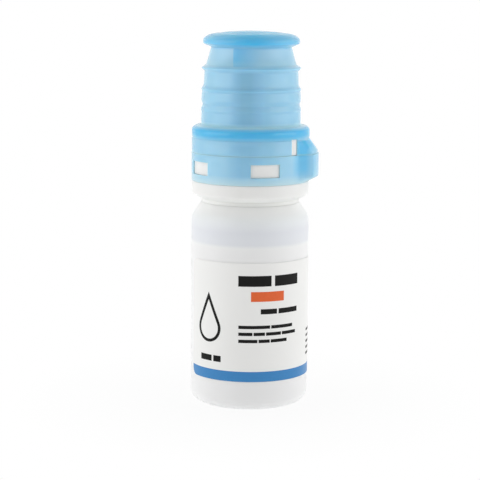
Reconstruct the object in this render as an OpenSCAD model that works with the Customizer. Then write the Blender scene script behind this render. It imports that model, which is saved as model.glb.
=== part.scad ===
// Eye drop bottle: a pump dropper with an inner bag, a press head and a pull-off cap.
// The origin is the centre of the ring that the bottle stands on, and +Z is up.
// Azimuths run from the front, which is -Y, towards the right, which is +X.

/* [Bottle] */
// Outer diameter of the body
body_d = 29.06; // [28:0.02:34]
// Height of the straight side above the standing ring
body_h = 45; // [38:0.1:60]
// Wall of the bottle
bottle_wall = 1; // [0.8:0.05:1.3]
// Width of the rounding at the foot
base_round_w = 3.3; // [2:0.1:4.5]
// Height of the rounding at the foot
base_round_h = 2.9; // [2:0.1:4.5]
// Diameter of the dish under the base
dish_d = 17; // [12:0.5:18]
// Depth of the dish under the base
dish_h = 0.9; // [0.5:0.1:1.5]
// Radius of the rounding from the side into the shoulder
shoulder_r = 5.1; // [4:0.1:6]
// Angle of the shoulder from the vertical
shoulder_slope = 36; // [30:1:42]
// Width of the shoulder, from the side in to the collar
shoulder_w = 2.48; // [2.2:0.01:3]
// Height of the neck above the shoulder
neck_h = 7.6; // [7:0.1:9]
// Wall of the neck
neck_wall = 1.2; // [1:0.1:1.5]
// Diameter of the vent hole in the base
vent_d = 1.2; // [0.8:0.1:2]

/* [Inner bag] */
// Wall of the bag
bag_wall = 0.35; // [0.3:0.05:0.5]
// Gap between the bag and the bottle
bag_gap = 0.3; // [0.2:0.05:0.5]

/* [Label] */
// Height of the label's lower edge
label_low = 7.5; // [6:0.1:8]
// Height of the label
label_h = 29.2; // [20:0.1:30]
// Thickness of the label
label_t = 0.1; // [0.08:0.01:0.2]
// Azimuth of the label's left edge
label_start = -70.6; // [-90:0.1:-60]
// Angle that the label wraps round the bottle
label_wrap = 330; // [300:1:340]
// Radius of the label's corners
label_corner = 2; // [1:0.1:3]

/* [Neck collar] */
// Wall of the collar outside the neck's bead
collar_wall = 1.2; // [1:0.05:1.4]
// Thickness of the collar's top deck
collar_deck = 1.1; // [0.9:0.1:1.5]
// Thickness of the neck gasket
gasket_t = 0.8; // [0.6:0.1:1.2]

/* [Pump] */
// Travel of the press head
stroke = 0.9; // [0.6:0.05:1.1]
// Bore of the pump barrel
barrel_bore_d = 6.56; // [6.2:0.02:7]
// Wall of the pump barrel
barrel_wall = 0.92; // [0.7:0.02:1]
// Depth of the spring cup round the barrel
cup_depth = 6; // [5:0.1:8]
// Wall of the cup
cup_wall = 0.9; // [0.7:0.05:1.1]
// Thickness of the flange that the collar clamps
cylinder_flange = 1; // [0.8:0.1:1.4]
// Diameter of the stem
stem_d = 4.4; // [4.2:0.1:4.8]
// Bore of the stem
stem_bore_d = 1.8; // [1.2:0.1:2]
// Height of the piston seal
seal_h = 3; // [2.4:0.1:3.6]
// Diameter of the inlet ball
ball_d = 2; // [1.6:0.1:2.2]
// Lift of the inlet ball
ball_lift = 0.5; // [0.3:0.05:0.7]
// Wall of the intake tube
intake_wall = 0.6; // [0.4:0.05:0.8]
// Height of the intake tube's lower end above the bag's floor
intake_foot = 3.5; // [2:0.1:6]

/* [Return spring] */
// Wire of the return spring
spring_wire_d = 0.8; // [0.6:0.05:0.8]
// Curls of the return spring
spring_turns = 5; // [3:0.5:5]

/* [Press head] */
// Wall of the head's skirt
head_wall = 1.17; // [1:0.01:1.4]
// Height of the flange's rim
flange_rim_h = 3.1; // [2.4:0.1:4]
// Height of the slope under the flange
flange_slope_h = 1.15; // [0.8:0.05:1.5]
// Thickness of the head's deck
deck_t = 1.4; // [1.1:0.1:1.8]
// Height of the rim above the deck's top, inside the cap
head_rim_h = 2.95; // [2:0.05:3.5]

/* [Nozzle] */
// Height of the nozzle tube
nozzle_h = 21; // [17:0.1:22]
// Diameter of the nozzle under the tip
nozzle_top_d = 6.2; // [5.6:0.1:6.6]
// Diameter of the nozzle above its foot
nozzle_low_d = 7.1; // [6.8:0.1:8]
// Bore of the nozzle
nozzle_bore_d = 3.2; // [3:0.1:3.4]
// Height of the rounded tip
tip_h = 2.4; // [2:0.1:3]
// Diameter of the outlet hole
outlet_d = 0.7; // [0.5:0.05:0.9]
// Opening travel of the outlet pin
pin_travel = 0.4; // [0.2:0.05:0.5]
// Curls of the silver spiral
spiral_turns = 8; // [5:0.5:9]

/* [Tamper ring] */
// Wall of the tamper ring
ring_wall = 1.15; // [0.9:0.05:1.4]
// Height of the tamper ring
ring_h = 6.75; // [6:0.05:7.5]
// Angle that each window spans
window_span = 29; // [20:0.5:36]
// Height of the windows
window_h = 3.2; // [2.4:0.1:4]
// Azimuth of the middle of the grip tab
tab_azimuth = 78; // [60:1:90]
// Reach of the tab beyond the ring
tab_reach = 2.25; // [1.5:0.05:3]
// Width of the tab's outer face
tab_w = 6.6; // [5:0.1:10]

/* [Cap] */
// Diameter of the cap's body above the shoulder
cap_body_d = 24.4; // [23.6:0.1:25]
// Height of the cap's body, from the shoulder to the disc
cap_body_h = 18.7; // [17.5:0.1:24]
// Height of the middle band
mid_band_h = 3.4; // [3:0.1:4.5]
// Height of the straight part of the top band
top_band_h = 1.45; // [1.2:0.05:2.5]
// Wall of the cap
cap_wall = 1.1; // [0.9:0.05:1.3]
// Diameter of the disc on top
disc_d = 23.7; // [22:0.1:25]
// Height of the disc's crown above its widest line
disc_h = 2.4; // [2:0.05:3.5]
// Outer diameter of the sealing sleeve
sleeve_d = 9.3; // [9:0.1:10]
// Wall of the sealing sleeve
sleeve_wall = 0.85; // [0.6:0.05:1]

/* [Hidden] */
$fn = 96;

// Overrun of every cut
over = 0.5;
// Running gap between the head and the collar, and between the piston and the barrel
slide_clear = 0.08;
seal_clear = 0.03;
// Gap of parts that plug into each other in one body
plug_clear = 0.02;
// Gap between parts that lie on each other but are pressed by nothing
seat_clear = 0.05;
// Gap that stays at the end of the head's stroke
stop_clear = 0.15;
// Gap that stays between the pump's pieces at the end of the stroke
free_clear = 0.3;

// Colours
natural = "#e3e6e6";
natural_deep = "#d3d9da";
cap_blue = "#8fc0e8";
label_white = "#f2f3f2";
steel = "#b9bec4";
silver = "#dfe2e6";
seal_grey = "#8d959b";

// Points of an arc or of part of an ellipse
function arc(cx, cz, rx, rz, from, to, steps) =
    [for (i = [0 : steps]) let (a = from + (to - from) * i / steps) [cx + rx * cos(a), cz + rz * sin(a)]];

// Bottle: radii and heights from the foot up to the neck's rim
body_r = body_d / 2;
ledge_r = body_r - shoulder_w;
ledge_lip = 0.05;
collar_r = ledge_r + ledge_lip - seat_clear;
shoulder_c = body_r - shoulder_r;
slope_r = shoulder_c + shoulder_r * cos(shoulder_slope);
slope_z = body_h + shoulder_r * sin(shoulder_slope);
ledge_z = slope_z + (slope_r - ledge_r) / tan(shoulder_slope);
rim_z = ledge_z + neck_h;
bead_out = 0.35;
bead_h = 1.1;
bead_drop = 1;
neck_clear = 0.1;
collar_bore_r = collar_r - collar_wall;
neck_r = collar_bore_r - neck_clear - bead_out;
neck_in_r = neck_r - neck_wall;
dish_r = dish_d / 2;
dish_slope_w = 1.4;

// Bag: it follows the bottle's inside at its own gap
bag_in = bottle_wall + bag_gap;
bag_neck_gap = 0.1;
bag_neck_r = neck_in_r - bag_neck_gap;
bag_floor_z = bottle_wall + dish_h + bag_gap;
bag_corner_r = 2;

// Neck stack: bag flange, gasket, cylinder flange, collar deck
gasket_z = rim_z + bag_wall;
cylinder_z = gasket_z + gasket_t;
deck_low_z = cylinder_z + cylinder_flange;
collar_top_z = deck_low_z + collar_deck;
collar_edge = 0.4;
cup_gap = 0.35;
cup_r = bag_neck_r - bag_wall - cup_gap;
cup_in_r = cup_r - cup_wall;
cup_floor_t = 1;
cup_floor_z = deck_low_z - cup_depth;
deck_hole_r = cup_in_r + neck_clear;
snap_in = 0.35;
snap_h = 1.2;
snap_drop = 3;

// Pump barrel and what runs in it, from its mouth down to the nipple
bore_r = barrel_bore_d / 2;
barrel_r = bore_r + barrel_wall;
barrel_drop = 0.55;
barrel_top_z = deck_low_z - barrel_drop;
guide_flange = 0.6;
guide_plug = 2.4;
guide_top_z = barrel_top_z + guide_flange;
guide_low_z = barrel_top_z - guide_plug;
seal_r = bore_r - seal_clear;
stem_r = stem_d / 2;
stem_bore_r = stem_bore_d / 2;
seal_stop = 0.1;
seal_top_z = guide_low_z - seal_stop;
seal_low_z = seal_top_z - seal_h;
groove_depth = 0.4;
foot_out = 0.2;
foot_h = 0.5;
stem_low_z = seal_low_z - foot_h;
retainer_t = 0.8;
retainer_top_z = stem_low_z - stroke - free_clear;
retainer_low_z = retainer_top_z - retainer_t;
retainer_hole_r = 0.55;
retainer_holes = 6;
ball_r = ball_d / 2;
lift_clear = 0.1;
chamber_share = 0.27;
chamber_r = ball_r + bore_r * chamber_share;
ball_z = retainer_low_z - lift_clear - ball_lift - ball_r;
valve_clear = 0.04;
throat_r = 0.65;
// The ball's cone is at 45 degrees, and the ball would touch it at this height
cone_touch_z = ball_z - ball_r * cos(45);
cone_low_z = cone_touch_z - (ball_r * cos(45) - throat_r) - valve_clear / cos(45);
cone_top_z = cone_low_z + chamber_r - throat_r;
barrel_floor = 0.7;
barrel_low_z = cone_low_z - barrel_floor;
barrel_taper_h = 1.2;
nipple_r = 1.5;
nipple_h = 3.5;
nipple_edge = 0.2;
intake_in_r = nipple_r + plug_clear;
intake_r = intake_in_r + intake_wall;
intake_low_z = bag_floor_z + intake_foot;

// Head: heights from the flange up to its rim, and radii from the collar out to the ring
head_bore_r = collar_r + slide_clear;
head_r = head_bore_r + head_wall;
ring_clear = 0.1;
ring_in_r = head_r + ring_clear;
ring_r = ring_in_r + ring_wall;
flange_step = 0.15;
flange_r = ring_r - flange_step;
flange_edge = 0.2;
flange_land = 0.35;
flange_low_z = ledge_z + stroke + stop_clear;
flange_mid_z = flange_low_z + flange_slope_h;
flange_top_z = flange_mid_z + flange_rim_h;
deck_z = collar_top_z + stroke + free_clear;
deck_top_z = deck_z + deck_t;
head_rim_z = deck_top_z + head_rim_h;
head_rim_wall = 1.1;
hub_low_r = stem_r + head_wall;
hub_low_z = guide_top_z + stroke + free_clear;
hub_r = 3.1;
hub_h = 2.35;
hub_top_z = deck_top_z + hub_h;
socket_rise = 0.6;
socket_top_z = deck_top_z + socket_rise;

// Springs: the sides of their wire, and the rings that their solid has in each curl
wire_sides = 6;
rings_per_curl = 8;

// Return spring, from the cup's floor to the head's deck. What the wire leaves free between the barrel
// and the cup lies half within it and half round it. The wire's chords reach in to this share of its radius.
chord_share = cos(180 / rings_per_curl);
spring_in_share = 0.51;
spring_r = (barrel_r + spring_wire_d / 2 + (cup_in_r - barrel_r - spring_wire_d) * spring_in_share)
    / (chord_share + (1 - chord_share) * spring_in_share);
// A ring under the deck centres the spring, in the gap between the barrel and the wire
spring_ring_gap = spring_r * chord_share - spring_wire_d / 2 - barrel_r;
spring_ring_place_share = 0.4;
spring_ring_wall_share = 0.45;
spring_ring_in_r = barrel_r + spring_ring_gap * spring_ring_place_share;
spring_ring_w = spring_ring_gap * spring_ring_wall_share;
spring_ring_h = 0.8;
spring_low_z = cup_floor_z + seat_clear;
spring_top_z = deck_z - seat_clear;

// Tamper ring and its windows, which hold the head's lugs
ring_low_z = flange_top_z + seat_clear;
ring_top_z = ring_low_z + ring_h;
window_rise = 1.85;
window_z = ring_low_z + window_rise;
lug_clear = 0.15;
lug_share = 0.6;
lug_out = ring_wall * lug_share;
// Azimuths of the windows from the middle of the tab
window_offsets = [-138.2, -63.7, 63.7, 138.2];
ring_edge = 0.15;

// Grip tab
tab_r = ring_r + tab_reach;
// Angle of the tab's flanks from the ring's tangent
tab_flank = 51;
tab_root_share = 0.8;
tab_low_slope = 1.2;
tab_low_gap = 0.15;
split_gap = 0.2;
tab_split = 0.5;
tab_cap_in = 0.3;
tab_top_rise = 3.4;
tab_face_h = 0.6;

// Cap: heights from its lower edge up to the disc
cap_low_z = ring_top_z + split_gap;
cap_r = cap_body_d / 2;
band_step = 0.05;
band_r = ring_r - band_step;
mid_groove_h = 0.5;
mid_groove_in = 0.15;
mid_top_z = cap_low_z + mid_band_h;
top_band_z = mid_top_z + mid_groove_h;
shoulder_z = top_band_z + top_band_h;
shoulder_rise = 1.3;
shoulder_flat = 0.45;
body_fillet = 0.25;
body_low_z = shoulder_z + shoulder_rise + body_fillet;
disc_root_z = body_low_z + cap_body_h;
disc_r = disc_d / 2;
disc_under_h = 1.5;
disc_edge_w = 2.5;
disc_edge_share = 0.72;
disc_edge_h = disc_h * disc_edge_share;
disc_wide_z = disc_root_z + disc_under_h;
// The disc's rounded edge runs between these angles, and the crown above it has equal steps
disc_edge_from = 15;
crown_angle = 80;
crown_step = 0.2;
disc_lip = 0.2;
disc_lip_h = 0.7;
disc_ceiling = 0.6;
cap_ceiling_z = disc_wide_z + disc_ceiling;
// Outline of the cap's body as shares of its height and of its radius
body_shares = [[0, 1.004], [0.16, 1], [0.19, 1.008], [0.215, 0.995], [0.257, 0.975], [0.298, 0.995],
               [0.32, 1], [0.41, 0.99]];
body_mid_shares = [[0.52, 0.955], [0.68, 0.941]];
body_top_shares = [[0.78, 0.903], [0.99, 0.811]];
// The rings: height, root and half height as shares, and the reach of their tips
low_bead_share = 0.455;
high_bead_share = 0.73;
bead_tip_share = 1.006;
low_bead_root_share = 0.965;
high_bead_root_share = 0.925;
low_bead_half = 0.7;
high_bead_half = 0.8;
notch_span = 9.5;
notch_gap = 1.9;
sleeve_r = sleeve_d / 2;
sleeve_in_r = sleeve_r - sleeve_wall;
// The sleeve reaches down over the nozzle's end
sleeve_lap = 1.65;

// Nozzle and what it holds, from its foot up to the outlet
nozzle_z = deck_top_z + seat_clear;
nozzle_top_z = nozzle_z + nozzle_h;
nozzle_foot_r = 7;
nozzle_foot_h = 1;
nozzle_curve_h = 3.4;
nozzle_top_r = nozzle_top_d / 2;
nozzle_low_r = nozzle_low_d / 2;
nozzle_bore_r = nozzle_bore_d / 2;
spiral_wire_d = 0.45;
spiral_gap = 0.12;
spiral_r = nozzle_bore_r - spiral_wire_d / 2 - spiral_gap;
sleeve_low_z = nozzle_top_z - sleeve_lap;
tip_plug_h = 1.4;
tip_plug_z = nozzle_top_z - tip_plug_h;
tip_plug_r = nozzle_bore_r - plug_clear;
tip_bore_r = 1.1;
tip_top_z = nozzle_top_z + tip_h;
tip_round_r = 1.7;
outlet_r = outlet_d / 2;
outlet_land = 0.5;
pin_cone_top_z = tip_top_z - outlet_land;
pin_r = 0.75;
pin_flange_r = nozzle_bore_r - free_clear;
pin_flange_t = 0.5;
pin_top_gap = 0.15;
pin_flange_z = tip_plug_z - pin_flange_t - pin_top_gap;
pin_nose_share = 0.7;
pin_cone_h = pin_r - outlet_r * pin_nose_share;
outlet_wire_d = 0.25;
spring_in = 0.25;
outlet_spring_r = nozzle_bore_r - outlet_wire_d / 2 - spiral_gap - spring_in;
// Height of the outlet spring while the pin is open
outlet_spring_shut = 2.2;
outlet_spring_h = outlet_spring_shut + pin_travel;
outlet_spring_turns = 3;
outlet_spring_top_z = pin_flange_z - seat_clear;
outlet_spring_low_z = outlet_spring_top_z - outlet_spring_h;
spring_cup_t = 1;
spring_cup_top_z = outlet_spring_low_z - seat_clear;
spring_cup_low_z = spring_cup_top_z - spring_cup_t;
spring_cup_hole_r = 0.5;
spiral_top_z = spring_cup_low_z - seat_clear;
bore_step_share = 0.3;
spiral_low_z = nozzle_z + nozzle_h * bore_step_share + seat_clear;
bore_step_z = nozzle_z + nozzle_h * bore_step_share;

// Cap seal
cap_seal_r = sleeve_in_r - seat_clear;
cap_seal_gap = 0.2;
cap_seal_top_z = cap_ceiling_z - seat_clear;
cap_seal_pad_z = tip_top_z + cap_seal_gap;
cap_seal_lip_h = 1.6;
cap_seal_lip = 0.45;

// Mitred copies of the shoulder's outline for the bottle and the bag, t inside the outer face
function shoulder_points(t, inner_r) =
    let (r = shoulder_r - t,
         top_r = shoulder_c + r * cos(shoulder_slope),
         top_z = body_h + r * sin(shoulder_slope),
         flat_z = ledge_z - t,
         flat_r = top_r - (flat_z - top_z) * tan(shoulder_slope))
    concat(arc(shoulder_c, body_h, r, r, 0, shoulder_slope, 8), [[flat_r, flat_z], [inner_r, flat_z]]);

// Springs: one round wire along a helix, with flat ends
function coil_rings(turns) = ceil(turns * rings_per_curl);
function coil_point(r, wire_d, low_z, high_z, turns, i) =
    let (t = i / coil_rings(turns), a = 360 * turns * t)
    [r * cos(a), r * sin(a), low_z + wire_d / 2 + (high_z - low_z - wire_d) * t];
function coil_gap(r, wire_d, low_z, high_z, turns) =
    let (p = coil_point(r, wire_d, low_z, high_z, turns, 0))
    min([for (i = [rings_per_curl - 1 : rings_per_curl + 1])
        norm(coil_point(r, wire_d, low_z, high_z, turns, i) - p)]) - wire_d;

module coil(r, wire_d, low_z, high_z, turns) {
    n = coil_rings(turns);
    rise = high_z - low_z - wire_d;
    pitch_angle = atan(rise / (turns * 2 * PI * r));
    points = [for (i = [0 : n])
        let (p = coil_point(r, wire_d, low_z, high_z, turns, i), a = 360 * turns * i / n)
        for (k = [0 : wire_sides - 1])
            let (b = 360 * (k + 1 / 2) / wire_sides, u = wire_d / 2 * cos(b), v = wire_d / 2 * sin(b))
            p + [u * cos(a) + v * sin(pitch_angle) * sin(a),
                 u * sin(a) - v * sin(pitch_angle) * cos(a),
                 v * cos(pitch_angle)]];
    sides = [for (i = [0 : n - 1]) for (k = [0 : wire_sides - 1])
        let (a = i * wire_sides + k, b = i * wire_sides + (k + 1) % wire_sides)
        for (face = [[a, a + wire_sides, b], [b, a + wire_sides, b + wire_sides]]) face];
    start = [for (k = [1 : wire_sides - 2]) [0, k, k + 1]];
    end = [for (k = [1 : wire_sides - 2]) [n * wire_sides, n * wire_sides + k + 1, n * wire_sides + k]];
    polyhedron(points, concat(sides, start, end), convexity = 10);
}

// Turns a solid so that its +X side faces an azimuth
module at_azimuth(azimuth) {
    rotate([0, 0, azimuth - 90]) children();
}

// Part of a ring, centred on an azimuth
module ring_sector(azimuth, span, in_r, out_r, low_z, high_z) {
    at_azimuth(azimuth - span / 2)
        rotate_extrude(angle = span)
            translate([in_r, low_z]) square([out_r - in_r, high_z - low_z]);
}

// Half the tab's width at a distance from the axis
function tab_half(r) = tab_w / 2 + (tab_r - r) / tan(tab_flank);

// Angle from the middle of the tab to where its flank meets the ring's face
function tab_foot_angle() =
    let (c = 1 / tan(tab_flank), a = tab_w / 2 + tab_r * c,
         x = (a * c + sqrt(a * a * c * c - (1 + c * c) * (a * a - ring_r * ring_r))) / (1 + c * c))
    atan2(a - c * x, x);

// Plan of the grip tab: two flanks that narrow outwards
module tab_plan() {
    top_r = tab_r + over;
    low_r = ring_in_r * tab_root_share;
    at_azimuth(tab_azimuth)
        polygon([[low_r, -tab_half(low_r)], [top_r, -tab_half(top_r)], [top_r, tab_half(top_r)],
                 [low_r, tab_half(low_r)]]);
}

module bottle() {
    outer_low = concat([[0, dish_h], [dish_r - dish_slope_w, dish_h], [dish_r, 0]],
                       arc(body_r - base_round_w, base_round_h, base_round_w, base_round_h, -90, 0, 12));
    outer_top = concat(arc(shoulder_c, body_h, shoulder_r, shoulder_r, 0, shoulder_slope, 8),
                       [[ledge_r, ledge_z], [neck_r, ledge_z]]);
    bead = [[neck_r, rim_z - bead_drop - bead_h], [neck_r + bead_out, rim_z - bead_drop - bead_h * 2 / 3],
            [neck_r + bead_out, rim_z - bead_drop - bead_h / 3], [neck_r, rim_z - bead_drop]];
    rim = [[neck_r, rim_z], [neck_in_r, rim_z]];
    top_in = shoulder_points(bottle_wall, neck_in_r);
    top_down = [for (i = [len(top_in) - 1 : -1 : 0]) top_in[i]];
    low_in = arc(body_r - base_round_w, base_round_h, base_round_w - bottle_wall,
                 base_round_h - bottle_wall, 0, -90, 8);
    floor_in = [[dish_r, bottle_wall], [dish_r - dish_slope_w, bottle_wall + dish_h],
                [0, bottle_wall + dish_h]];
    color(natural)
        difference() {
            rotate_extrude() polygon(concat(outer_low, outer_top, bead, rim, top_down, low_in, floor_in));
            translate([0, 0, -over]) cylinder(d = vent_d, h = bottle_wall + dish_h + over + over, $fn = 32);
        }
}

module label() {
    in_r = body_r + plug_clear;
    out_r = in_r + label_t;
    middle = label_start + label_wrap / 2;
    color(label_white)
        difference() {
            ring_sector(middle, label_wrap, in_r, out_r, label_low, label_low + label_h);
            for (side = [-1, 1]) for (end = [-1, 1])
                label_corner_cut(middle + side * label_wrap / 2, side, end);
        }
}

// Rounds one corner of the label: side is its azimuth side, end is its lower or upper edge.
// The first and the last chord run on past the label, so that they cross its edges at an angle.
corner_chord = 15;
module label_corner_cut(azimuth, side, end) {
    z = end < 0 ? label_low : label_low + label_h;
    r = label_corner;
    first = corner_chord / 2;
    near = -r + r * sin(first) - over * cos(corner_chord);
    far = -r + r * cos(first) + over * sin(corner_chord);
    points = concat([[far, near]], arc(-r, -r, r, r, first, 90 - first, 90 / corner_chord - 1),
                    [[near, far], [over, over]]);
    at_azimuth(azimuth)
        translate([body_r - over, 0, z]) rotate([90, 0, 90])
            linear_extrude(over * 3) polygon([for (p = points) [side * p[0], end * p[1]]]);
}

// Outline of the bag, in from the bottle's outer face by t, from the floor up to its neck
function bag_outline(t, floor_z, neck) =
    concat([[0, floor_z], [body_r - t - bag_corner_r, floor_z]],
           arc(body_r - t - bag_corner_r, floor_z + bag_corner_r, bag_corner_r, bag_corner_r, -90, 0, 8),
           shoulder_points(t, neck));

module inner_bag() {
    outer = bag_outline(bag_in, bag_floor_z, bag_neck_r);
    inner = bag_outline(bag_in + bag_wall, bag_floor_z + bag_wall, bag_neck_r - bag_wall);
    flange_r_out = neck_r - bag_neck_gap;
    flange = [[bag_neck_r, rim_z], [flange_r_out, rim_z], [flange_r_out, rim_z + bag_wall],
              [bag_neck_r - bag_wall, rim_z + bag_wall]];
    inner_down = [for (i = [len(inner) - 1 : -1 : 0]) inner[i]];
    color(natural_deep) rotate_extrude() polygon(concat(outer, flange, inner_down));
}

module neck_gasket() {
    color(seal_grey)
        difference() {
            translate([0, 0, gasket_z]) cylinder(r = neck_r, h = gasket_t);
            translate([0, 0, gasket_z - over]) cylinder(r = cup_r + neck_clear, h = gasket_t + over + over);
        }
}

module snap_collar() {
    snap_top_z = rim_z - snap_drop;
    color(natural)
        rotate_extrude()
            polygon([[collar_bore_r, ledge_z], [collar_r, ledge_z], [collar_r, collar_top_z - collar_edge],
                     [collar_r - collar_edge, collar_top_z], [deck_hole_r, collar_top_z],
                     [deck_hole_r, deck_low_z], [collar_bore_r, deck_low_z], [collar_bore_r, snap_top_z],
                     [collar_bore_r - snap_in, snap_top_z - snap_in],
                     [collar_bore_r - snap_in, snap_top_z - snap_h + snap_in],
                     [collar_bore_r, snap_top_z - snap_h]]);
}

module pump_cylinder() {
    color(natural_deep)
        rotate_extrude()
            polygon([[throat_r, barrel_low_z - nipple_h], [nipple_r - nipple_edge, barrel_low_z - nipple_h],
                     [nipple_r, barrel_low_z - nipple_h + nipple_edge], [nipple_r, barrel_low_z],
                     [barrel_r - barrel_taper_h, barrel_low_z], [barrel_r, barrel_low_z + barrel_taper_h],
                     [barrel_r, cup_floor_z - cup_floor_t], [cup_r, cup_floor_z - cup_floor_t],
                     [cup_r, cylinder_z], [neck_r, cylinder_z], [neck_r, deck_low_z],
                     [cup_in_r, deck_low_z], [cup_in_r, cup_floor_z], [barrel_r, cup_floor_z],
                     [barrel_r, barrel_top_z], [bore_r, barrel_top_z], [bore_r, retainer_low_z],
                     [chamber_r, retainer_low_z], [chamber_r, cone_top_z], [throat_r, cone_low_z]]);
}

module intake_tube() {
    top_z = barrel_low_z - seat_clear;
    color(natural_deep)
        difference() {
            translate([0, 0, intake_low_z]) cylinder(r = intake_r, h = top_z - intake_low_z, $fn = 48);
            translate([0, 0, intake_low_z - over])
                cylinder(r = intake_in_r, h = top_z - intake_low_z + over + over, $fn = 48);
            translate([-intake_r, 0, intake_low_z]) rotate([0, -45, 0])
                translate([-intake_r * 4, -intake_r * 2, -intake_r * 4])
                    cube([intake_r * 8, intake_r * 4, intake_r * 4]);
        }
}

module inlet_ball() {
    color(steel) translate([0, 0, ball_z]) sphere(r = ball_r, $fn = 48);
}

module ball_retainer() {
    color(natural)
        difference() {
            translate([0, 0, retainer_low_z]) cylinder(r = bore_r - seal_clear, h = retainer_t);
            for (i = [0 : retainer_holes - 1]) rotate([0, 0, 360 * i / retainer_holes])
                translate([chamber_r - retainer_hole_r, 0, retainer_low_z - over])
                    cylinder(r = retainer_hole_r, h = retainer_t + over + over, $fn = 24);
        }
}

module return_spring() {
    color(steel) coil(spring_r, spring_wire_d, spring_low_z, spring_top_z, spring_turns);
}

module stem_guide() {
    color(natural)
        rotate_extrude()
            polygon([[stem_r + seat_clear, guide_low_z], [bore_r - seal_clear, guide_low_z],
                     [bore_r - seal_clear, barrel_top_z], [barrel_r, barrel_top_z], [barrel_r, guide_top_z],
                     [stem_r + seat_clear, guide_top_z]]);
}

module piston_seal() {
    lip = seal_h / 5;
    waist_r = (seal_r + stem_r) / 2;
    color(seal_grey)
        rotate_extrude()
            polygon([[stem_r - groove_depth + plug_clear, seal_low_z], [seal_r, seal_low_z],
                     [seal_r, seal_low_z + lip], [waist_r, seal_low_z + lip * 2],
                     [waist_r, seal_top_z - lip * 2], [seal_r, seal_top_z - lip], [seal_r, seal_top_z],
                     [stem_r - groove_depth + plug_clear, seal_top_z]]);
}

module stem() {
    color(natural)
        rotate_extrude()
            polygon([[stem_bore_r, stem_low_z], [stem_r + foot_out - foot_h / 2, stem_low_z],
                     [stem_r + foot_out, stem_low_z + foot_h / 2], [stem_r + foot_out, seal_low_z],
                     [stem_r - groove_depth, seal_low_z], [stem_r - groove_depth, seal_top_z],
                     [stem_r, seal_top_z], [stem_r, socket_top_z - seat_clear],
                     [stem_bore_r, socket_top_z - seat_clear]]);
}

module press_head() {
    rim_in_r = head_r - head_rim_wall;
    color(natural) {
        difference() {
            rotate_extrude()
                polygon([[head_bore_r, flange_low_z], [head_bore_r + flange_land, flange_low_z],
                         [flange_r, flange_mid_z], [flange_r, flange_top_z - flange_edge],
                         [flange_r - flange_edge, flange_top_z], [head_r, flange_top_z],
                         [head_r, head_rim_z], [rim_in_r, head_rim_z], [rim_in_r, deck_top_z],
                         [hub_r, deck_top_z], [hub_r, hub_top_z], [0, hub_top_z], [0, hub_low_z],
                         [hub_low_r, hub_low_z], [hub_low_r, deck_z], [spring_ring_in_r, deck_z],
                         [spring_ring_in_r, deck_z - spring_ring_h],
                         [spring_ring_in_r + spring_ring_w, deck_z - spring_ring_h],
                         [spring_ring_in_r + spring_ring_w, deck_z], [head_bore_r, deck_z]]);
            translate([0, 0, hub_low_z - over])
                cylinder(r = stem_r + plug_clear, h = socket_top_z - hub_low_z + over, $fn = 64);
            translate([0, 0, hub_low_z])
                cylinder(r = stem_bore_r, h = hub_top_z - hub_low_z + over, $fn = 64);
        }
        for (offset = window_offsets) head_lug(tab_azimuth + offset);
    }
}

// A lug on the head that sits in one window of the tamper ring
module head_lug(azimuth) {
    span = window_span - 2 * asin(lug_clear / ring_in_r);
    ring_sector(azimuth, span, head_r - head_rim_wall / 2, ring_in_r + lug_out,
                window_z + lug_clear, window_z + window_h - lug_clear);
}

module tamper_ring() {
    color(cap_blue)
        difference() {
            union() {
                rotate_extrude()
                    polygon([[ring_in_r, ring_low_z], [ring_r - ring_edge, ring_low_z],
                             [ring_r, ring_low_z + ring_edge], [ring_r, ring_top_z - ring_edge],
                             [ring_r - ring_edge, ring_top_z], [ring_in_r, ring_top_z]]);
                intersection() {
                    rotate_extrude()
                        polygon([[ring_in_r, ring_low_z + tab_low_gap], [ring_r, ring_low_z + tab_low_gap],
                                 [tab_r, ring_low_z + tab_low_gap + tab_low_slope],
                                 [tab_r, ring_top_z - tab_split], [ring_in_r, ring_top_z - tab_split]]);
                    translate([0, 0, ring_low_z]) linear_extrude(ring_h) tab_plan();
                }
            }
            for (offset = window_offsets)
                ring_sector(tab_azimuth + offset, window_span, ring_in_r - over, ring_r + over,
                            window_z, window_z + window_h);
        }
}

module nozzle() {
    curve_z = nozzle_z + nozzle_foot_h;
    color(natural)
        difference() {
            rotate_extrude()
                polygon(concat([[0, nozzle_z], [nozzle_foot_r, nozzle_z], [nozzle_foot_r, curve_z]],
                               arc(nozzle_foot_r, curve_z + nozzle_curve_h, nozzle_foot_r - nozzle_low_r,
                                   nozzle_curve_h, -90, -180, 8),
                               [[nozzle_top_r, nozzle_top_z], [0, nozzle_top_z]]));
            translate([0, 0, nozzle_z - over])
                cylinder(r = hub_r + plug_clear, h = hub_h + over, $fn = 64);
            translate([0, 0, nozzle_z]) cylinder(r = stem_bore_r, h = nozzle_h, $fn = 48);
            translate([0, 0, bore_step_z]) cylinder(r = nozzle_bore_r, h = nozzle_h, $fn = 64);
        }
}

module silver_spiral() {
    color(silver) coil(spiral_r, spiral_wire_d, spiral_low_z, spiral_top_z, spiral_turns);
}

module spring_cup() {
    color(natural)
        difference() {
            translate([0, 0, spring_cup_low_z]) cylinder(r = tip_plug_r, h = spring_cup_t, $fn = 64);
            translate([0, 0, spring_cup_low_z - over])
                cylinder(r = spring_cup_hole_r, h = spring_cup_t + over + over, $fn = 32);
        }
}

module outlet_spring() {
    color(steel)
        coil(outlet_spring_r, outlet_wire_d, outlet_spring_low_z, outlet_spring_top_z, outlet_spring_turns);
}

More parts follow.
